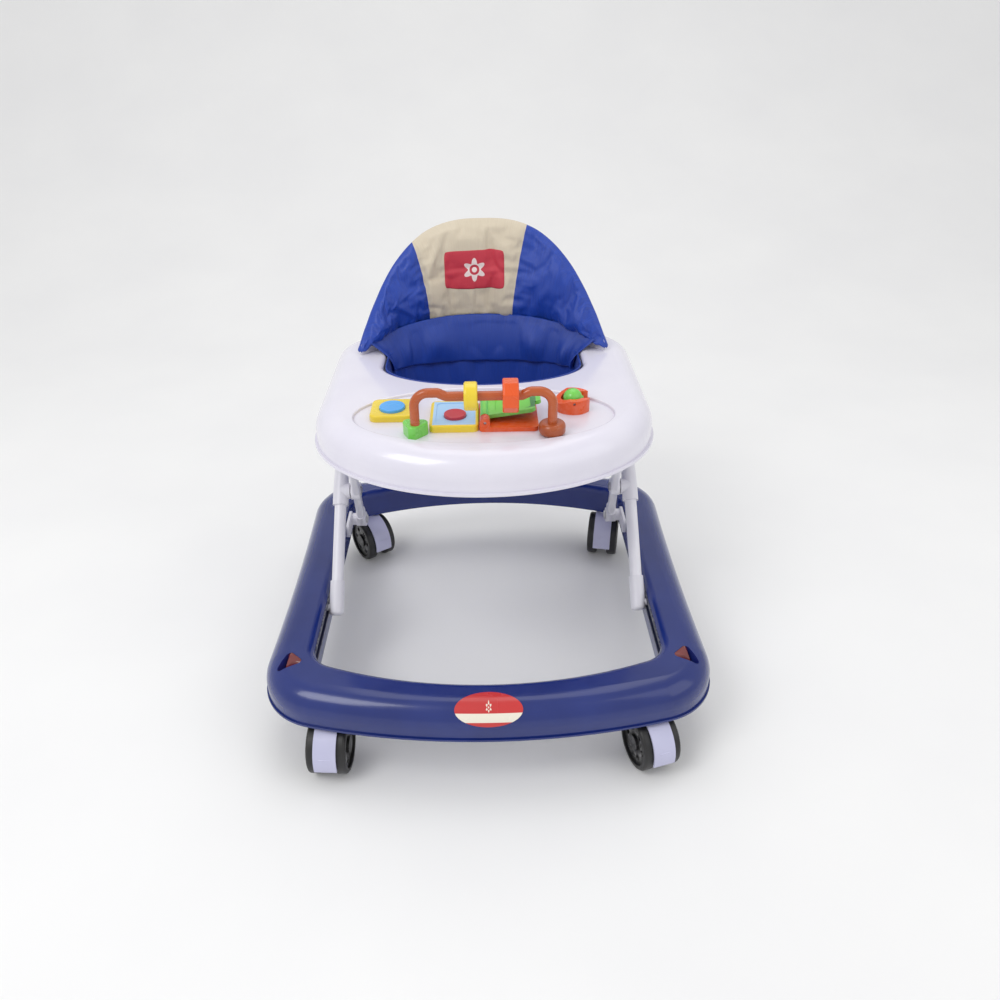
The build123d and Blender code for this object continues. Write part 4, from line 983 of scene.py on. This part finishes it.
@dataclass
class SeatBucket:
    """The fabric bucket hung in the opening, with two bound leg holes.

    Attributes:
        opening: the opening it hangs in.
        taper: how much narrower the floor is than the rim.
        wall_rows: rows down the wall.
        floor_rows: rows from the wall to the middle of the floor.
        leg_x: x of a leg hole.
        leg_y: y of the leg holes.
        leg_half: half sizes of a leg hole.
        cloth: thickness of the cloth.
    """

    opening: SeatOpening
    taper: float = 0.034
    wall_rows: int = 34
    floor_rows: int = 26
    leg_x: float = 0.062
    leg_y: float = 0.155
    leg_half: tuple[float, float] = (0.035, 0.041)
    cloth: float = 0.0014

    def reach(self, place: Vector) -> float:
        """How far a floor point is from the nearer leg hole's middle: 1 is on its edge."""
        dx = (abs(place.x) - self.leg_x) / self.leg_half[0]
        dy = (place.y - self.leg_y) / self.leg_half[1]
        return math.hypot(dx, dy)

    def snap(self, place: Vector) -> Vector:
        """Moves a point near a leg hole's edge on to the edge."""
        reach = self.reach(place)
        if 0.84 < reach < 1.1:
            side = math.copysign(self.leg_x, place.x)
            place.x = side + (place.x - side) / reach
            place.y = self.leg_y + (place.y - self.leg_y) / reach
        return place

    def build(self, cloth: bpy.types.Material, binding: bpy.types.Material) -> list[bpy.types.Object]:
        """Makes the bucket and the bindings of its leg holes.

        Args:
            cloth: the seat's cloth.
            binding: the elastic binding's cloth.

        Returns:
            The pieces.
        """
        low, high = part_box("seat_sling")
        points: list[Vector] = []
        for row in range(self.wall_rows + 1):
            share = row / self.wall_rows
            ring = self.opening.outline(-0.0028 - self.taper * share**1.5)
            for number, place in enumerate(ring):
                along = number * 0.0046
                fold = 0.0034 * ripple(along / 0.030, share * 1.3, 4.2) + 0.0012 * ripple(along / 0.011, share, 6.6)
                away = Vector((place.x, place.y - 0.165, 0.0)).normalized()
                depth = min(1.0, 5.0 * share)
                place = place - away * (abs(fold) * depth)
                place.z = lerp(high.z - 0.001, low.z + 0.004, share)
                points.append(place)
        size = len(self.opening.outline(0.0))
        edge = points[-size:]
        for row in range(1, self.floor_rows + 1):
            share = row / self.floor_rows
            for place in edge:
                spine = Vector((place.x * 0.15, 0.158 + (place.y - 0.158) * 0.1, 0.0))
                inner = place.lerp(spine, share)
                inner.z = low.z + 0.004 - 0.0032 * math.sin(math.pi * 0.5 * share)
                inner.z += 0.0009 * ripple(inner.x / 0.02, inner.y / 0.02, 7.7)
                points.append(self.snap(inner))
        faces = []
        for row in range(self.wall_rows + self.floor_rows):
            for number in range(size):
                a, b = row * size + number, row * size + (number + 1) % size
                corners = (a, b, b + size, a + size)
                middle = sum((points[corner] for corner in corners), Vector()) / 4
                if row < self.wall_rows or self.reach(middle) > 1.0:
                    faces.append(corners)
        last = (self.wall_rows + self.floor_rows) * size
        faces.append(tuple(range(last, last + size)))
        piece = new_object("seat_bucket", points, faces)
        take(piece)
        bpy.ops.object.mode_set(mode="EDIT")
        bpy.ops.mesh.select_all(action="SELECT")
        bpy.ops.mesh.delete_loose()
        bpy.ops.object.mode_set(mode="OBJECT")
        settle(piece)
        finish_with(piece, "SOLIDIFY", thickness=self.cloth, offset=-1.0)
        smooth(piece)
        dress(piece, cloth)
        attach(piece, Body.TRAY.value)
        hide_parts("seat_sling")
        return [piece, self.bind(-1, binding), self.bind(1, binding)]

    def bind(self, side: int, binding: bpy.types.Material) -> bpy.types.Object:
        """Makes the gathered binding round one leg hole.

        Args:
            side: -1 for the left hole, 1 for the right.
            binding: its cloth.

        Returns:
            The piece.
        """
        low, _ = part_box("seat_sling")
        bpy.ops.object.select_all(action="DESELECT")
        bpy.ops.mesh.primitive_torus_add(
            major_radius=1.0, minor_radius=0.1, major_segments=120, minor_segments=12, location=(0, 0, 0)
        )
        piece = bpy.context.active_object
        piece.name = "leg_binding_left" if side < 0 else "leg_binding_right"
        for vertex in piece.data.vertices:
            turn = math.atan2(vertex.co.y, vertex.co.x)
            out = math.hypot(vertex.co.x, vertex.co.y) - 1.0
            pinch = 0.0030 + 0.0007 * math.sin(48.0 * turn)
            vertex.co.x = side * self.leg_x + math.cos(turn) * (self.leg_half[0] + out * 10.0 * pinch)
            vertex.co.y = self.leg_y + math.sin(turn) * (self.leg_half[1] + out * 10.0 * pinch)
            vertex.co.z = low.z + 0.0035 + vertex.co.z * 10.0 * pinch
        settle(piece)
        smooth(piece)
        dress(piece, binding)
        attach(piece, Body.TRAY.value)
        return piece


@dataclass
class BackCloth:
    """The cloth that rises from the opening's rear edge to the padded cover, in soft folds.

    Attributes:
        form: the backrest's shape.
        opening: the seat opening.
        columns: columns round the back.
        rows: rows up the cloth.
    """

    form: BackForm
    opening: SeatOpening
    columns: int = 150
    rows: int = 26

    def build(self, cloth: bpy.types.Material) -> bpy.types.Object:
        """Hangs the cloth.

        Args:
            cloth: the seat's cloth.

        Returns:
            The piece.
        """
        form = self.form
        end = form.turn_at(form.end_x - 0.004, form.foot) - 0.04
        points: list[Vector] = []
        for row in range(self.rows + 1):
            share = row / self.rows
            for column in range(self.columns + 1):
                side = 2.0 * column / self.columns - 1.0
                turn = end * side
                fore = math.pi / 2 * side
                deep = self.opening.rear - self.opening.rear_centre - 0.010
                foot = Vector(
                    (
                        (self.opening.half_w - 0.010) * math.sin(fore),
                        self.opening.rear_centre + deep * math.cos(fore),
                        form.foot - 0.030,
                    )
                )
                x = form.point(turn, form.foot, 0.0).x
                head = form.point(turn, max(form.foot + 0.010, form.low_at(x) + 0.007), -0.0125)
                place = foot.lerp(head, share**1.8)
                place.z = lerp(foot.z, head.z, share)
                place.z += 0.002 * math.sin(math.pi * share) * (1.0 - abs(side))
                along = turn * 0.17
                gather = 0.0016 * math.exp(-(1.0 - share) / 0.22) * ripple(along / 0.009, share, 2.2)
                fold = 0.0085 * ripple(along / 0.03, share * 0.7, 6.1) * math.sin(math.pi * min(1.0, 0.15 + share))
                away = Vector((-math.sin(turn), -math.cos(turn), 0.0))
                points.append(place + away * (max(-0.001, fold) + gather + 0.001))
        size = self.columns + 1
        faces = [
            (a, a + size, a + size + 1, a + 1)
            for row in range(self.rows)
            for a in range(row * size, row * size + self.columns)
        ]
        piece = new_object("seat_back_cloth", points, faces)
        settle(piece)
        finish_with(piece, "SOLIDIFY", thickness=0.0012, offset=0.0)
        smooth(piece)
        dress(piece, cloth)
        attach(piece, Body.TRAY.value)
        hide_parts("seat_back_panel")
        return piece


# ---- hard pieces -------------------------------------------------------------------------
@dataclass
class HardFrame:
    """The moulded and metal pieces, which keep their shape and are given their finishes.

    Attributes:
        shelf: the shared effects.
    """

    shelf: EffectShelf

    def finishes(self) -> dict[str, Moulded]:
        """The finish of each material slot.

        Returns:
            Finishes by slot name.
        """
        return {
            "base_blue": Moulded("base_blue_gloss", (0.005, 0.018, 0.15), (0.008, 0.024, 0.18), 0.22, 0.3, rubbed=0.0),
            "white_shell": Moulded("white_gloss", (0.78, 0.76, 0.85), (0.74, 0.72, 0.82), 0.22, 0.4, rubbed=0.0),
            "white_fittings": Moulded("white_satin", (0.74, 0.73, 0.79), (0.68, 0.67, 0.74), 0.34, 0.15, rubbed=0.0),
            "leg_coating": Moulded("powder_coat", (0.8, 0.79, 0.85), (0.74, 0.73, 0.8), 0.36, 0.2, 0.00006, 0.0),
            "plain_steel": Moulded("drawn_zinc", (0.55, 0.55, 0.57), (0.42, 0.42, 0.44), 0.32, 0.0, metal=1.0),
            "track_dark": Moulded("track_satin", (0.012, 0.016, 0.05), (0.02, 0.024, 0.07), 0.45, 0.05, rubbed=0.4),
            "hood_pale": Moulded("hood_satin", (0.55, 0.55, 0.74), (0.48, 0.48, 0.66), 0.38, 0.1, rubbed=0.0),
            "wheel_black": Moulded("wheel_satin", (0.009, 0.009, 0.011), (0.022, 0.021, 0.02), 0.42, 0.05, 0.00008, 0.5),
            "reflector_red": Moulded("reflector_lens", (0.12, 0.012, 0.012), (0.2, 0.02, 0.02), 0.16, 0.8, rubbed=0.1),
            "toy_terracotta": Moulded("terracotta_gloss", (0.5, 0.1, 0.018), (0.42, 0.08, 0.015), 0.26, 0.3, rubbed=0.1),
            "toy_green": Moulded("green_gloss", (0.2, 0.68, 0.1), (0.16, 0.6, 0.08), 0.26, 0.3, rubbed=0.1),
            "toy_brown": Moulded("brown_gloss", (0.42, 0.085, 0.018), (0.34, 0.07, 0.015), 0.28, 0.3, rubbed=0.1),
            "toy_yellow": Moulded("yellow_gloss", (0.86, 0.66, 0.035), (0.8, 0.58, 0.03), 0.26, 0.3, rubbed=0.1),
            "toy_orange": Moulded("orange_gloss", (0.84, 0.1, 0.006), (0.74, 0.085, 0.006), 0.26, 0.3, rubbed=0.1),
            "toy_blue": Moulded("light_blue_gloss", (0.09, 0.42, 0.9), (0.07, 0.36, 0.82), 0.26, 0.3, rubbed=0.1),
        }

    def accented(self) -> dict[str, Moulded]:
        """Finishes of the few nodes with a second colour or their own.

        Returns:
            Finishes by node name.
        """
        page_low, page_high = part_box("book_page")
        flap_low, flap_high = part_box("flap_page")
        panel = Accent(
            (0.38, 0.62, 0.9),
            (page_low.x + 0.004, page_low.y + 0.004, page_high.z - 0.0032),
            (page_high.x - 0.004, page_high.y - 0.004, page_high.z + 0.002),
        )
        leaf = Accent(
            (0.03, 0.2, 0.05),
            (flap_low.x + 0.005, flap_low.y + 0.006, flap_high.z - 0.003),
            (flap_high.x - 0.007, flap_high.y - 0.006, flap_high.z + 0.002),
        )
        return {
            "book_page": Moulded("page_yellow", (0.86, 0.66, 0.035), (0.8, 0.58, 0.03), rubbed=0.1, accents=(panel,)),
            "flap_page": Moulded("flap_green", (0.2, 0.68, 0.1), (0.16, 0.6, 0.08), rubbed=0.1, accents=(leaf,)),
            "page_button": Moulded("pink_gloss", (0.6, 0.03, 0.06), (0.5, 0.025, 0.05), 0.26, 0.3, rubbed=0.1),
        }

    def build(self) -> None:
        """Gives every hard node its finish."""
        special = {node: finish.make(self.shelf) for node, finish in self.accented().items()}
        plain = {name: finish.make(self.shelf) for name, finish in self.finishes().items()}
        badge_low, badge_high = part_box("front_badge")
        film = BadgeFilm(
            "badge_film", (0.6, 0.028, 0.028), (0.85, 0.8, 0.68), tuple(badge_low), tuple(badge_high)
        ).make(self.shelf)
        for part in frame["record"]["subparts"]:
            node, kind = part["node"], part["material_slot"]
            if kind in ("cover_fabric", "seat_fabric"):
                continue
            piece = bpy.data.objects.get(node)
            if piece is None:
                LOG.warning("node %s isn't in the scene", node)
                continue
            dress(piece, film if kind == "badge_print" else special.get(node, plain.get(kind, film)))
            LOG.info("dressed %s as %s", node, kind)


# ---- stage -------------------------------------------------------------------------------
@dataclass
class Studio:
    """Pale floor, soft lights and the camera.

    Attributes:
        eye: the camera's place.
        pitch: the camera's turn about X, in degrees.
        roll: its turn about its own line of sight, in degrees.
        lens: focal length on a 36 mm sensor.
    """

    eye: tuple[float, float, float] = (0.003, -1.032, 0.865)
    pitch: float = 59.0
    roll: float = -1.0
    lens: float = 30.08

    def floor(self) -> None:
        """Lays the pale floor."""
        bpy.ops.object.select_all(action="DESELECT")
        bpy.ops.mesh.primitive_plane_add(size=12.0, location=(0.0, -2.5, -0.0006))
        piece = bpy.context.active_object
        piece.name = "studio_floor"
        bpy.ops.object.mode_set(mode="EDIT")
        bpy.ops.mesh.select_mode(type="VERT")
        bpy.ops.mesh.select_all(action="DESELECT")
        bpy.ops.object.mode_set(mode="OBJECT")
        for vertex in piece.data.vertices:
            vertex.select = vertex.co.y > 5.9
        bpy.ops.object.mode_set(mode="EDIT")
        bpy.ops.mesh.extrude_region_move(TRANSFORM_OT_translate={"value": (0.0, 0.0, 5.0)})
        bpy.ops.object.mode_set(mode="OBJECT")
        for vertex in piece.data.vertices:
            vertex.select = vertex.co.y > 5.9 and vertex.co.z < 0.1
        bpy.ops.object.mode_set(mode="EDIT")
        bpy.ops.mesh.bevel(offset=2.4, segments=16, affect="EDGES")
        bpy.ops.object.mode_set(mode="OBJECT")
        smooth(piece)
        material = bpy.data.materials.new("floor_paper")
        material.use_nodes = True
        tree = Tree(material.node_tree)
        shader = material.node_tree.nodes["Principled BSDF"]
        tone = tree.remap(tree.noise(tree.place(), 3.0, 3.0), 0.3, 0.7, 0.0, 1.0)
        tree.put(tree.blend(tone, (0.9, 0.9, 0.9), (0.87, 0.87, 0.875)), shader.inputs["Base Color"])
        shader.inputs["Roughness"].default_value = 0.7
        dress(piece, material)

    def light(self, name: str, place: tuple[float, float, float], size: float, power: float) -> None:
        """Hangs a square soft light that faces the object.

        Args:
            name: the light's name.
            place: where it hangs.
            size: its side.
            power: its power.
        """
        lamp = bpy.data.lights.new(name, "AREA")
        lamp.shape = "SQUARE"
        lamp.size = size
        lamp.energy = power
        holder = bpy.data.objects.new(name, lamp)
        bpy.context.scene.collection.objects.link(holder)
        holder.location = place
        aim = Vector((0.0, 0.0, 0.3)) - Vector(place)
        holder.rotation_euler = aim.to_track_quat("-Z", "Y").to_euler()

    def build(self) -> None:
        """Sets the stage."""
        self.floor()
        self.light("key_light", (-1.5, -1.3, 2.4), 1.3, 24.0)
        self.light("fill_light", (1.9, -1.1, 1.7), 1.8, 8.0)
        self.light("top_light", (0.1, 0.9, 2.6), 1.8, 12.0)
        world = bpy.data.worlds.new("studio_world")
        bpy.context.scene.world = world
        world.use_nodes = True
        glow = world.node_tree.nodes["Background"]
        glow.inputs["Color"].default_value = (1.0, 1.0, 1.0, 1.0)
        glow.inputs["Strength"].default_value = 0.72
        bpy.context.scene.view_settings.view_transform = "Standard"
        data = bpy.data.cameras.new("studio_camera")
        data.lens = self.lens
        data.sensor_width = 36.0
        data.shift_x = 0.0125
        camera = bpy.data.objects.new("studio_camera", data)
        bpy.context.scene.collection.objects.link(camera)
        aim = Matrix.Rotation(math.radians(self.pitch), 4, "X") @ Matrix.Rotation(math.radians(self.roll), 4, "Z")
        camera.matrix_world = Matrix.Translation(Vector(self.eye)) @ aim
        bpy.context.scene.camera = camera


def main() -> None:
    """Builds the pieces in order, dresses them and sets the stage."""
    logging.basicConfig(level=logging.INFO, format="%(message)s")
    shelf = EffectShelf()
    # Each cloth's second colour is its darker copy, painted as shade in streaks and in the thread hollows.
    satin = Woven("cover_satin_blue", (0.012, 0.065, 0.46), (0.006, 0.028, 0.24), 1100.0, 0.34, 0.12).make(shelf)
    cream = Woven("cover_beige", (0.68, 0.6, 0.47), (0.58, 0.5, 0.38), 900.0, 0.6, 0.3).make(shelf)
    seat = Woven("seat_blue", (0.012, 0.06, 0.42), (0.006, 0.03, 0.22), 1000.0, 0.4, 0.12).make(shelf)
    tape = Woven("binding_blue", (0.015, 0.04, 0.21), (0.008, 0.02, 0.12), 1300.0, 0.55, 0.3).make(shelf)
    HardFrame(shelf).build()
    form = BackForm()
    opening = SeatOpening()
    band = PaddedBand(form).build(satin, cream)
    LOG.info("built %s", band.name)
    patch = BandPatch(band)
    at = (patch.middle[0], 0.0, patch.middle[1])
    printed = Woven(
        name="patch_print",
        colour=(0.6, 0.035, 0.065),
        shade=(0.5, 0.025, 0.05),
        threads=1300.0,
        rough=0.45,
        sheen=0.2,
        print_colour=(0.85, 0.72, 0.7),
        print_at=at,
        print_radius=0.018,
    ).make(shelf)
    LOG.info("built %s", patch.build(printed).name)
    for piece in SeatBucket(opening).build(seat, tape):
        LOG.info("built %s", piece.name)
    LOG.info("built %s", BackCloth(form, opening).build(seat).name)
    Studio().build()


if __name__ == "__main__":
    main()
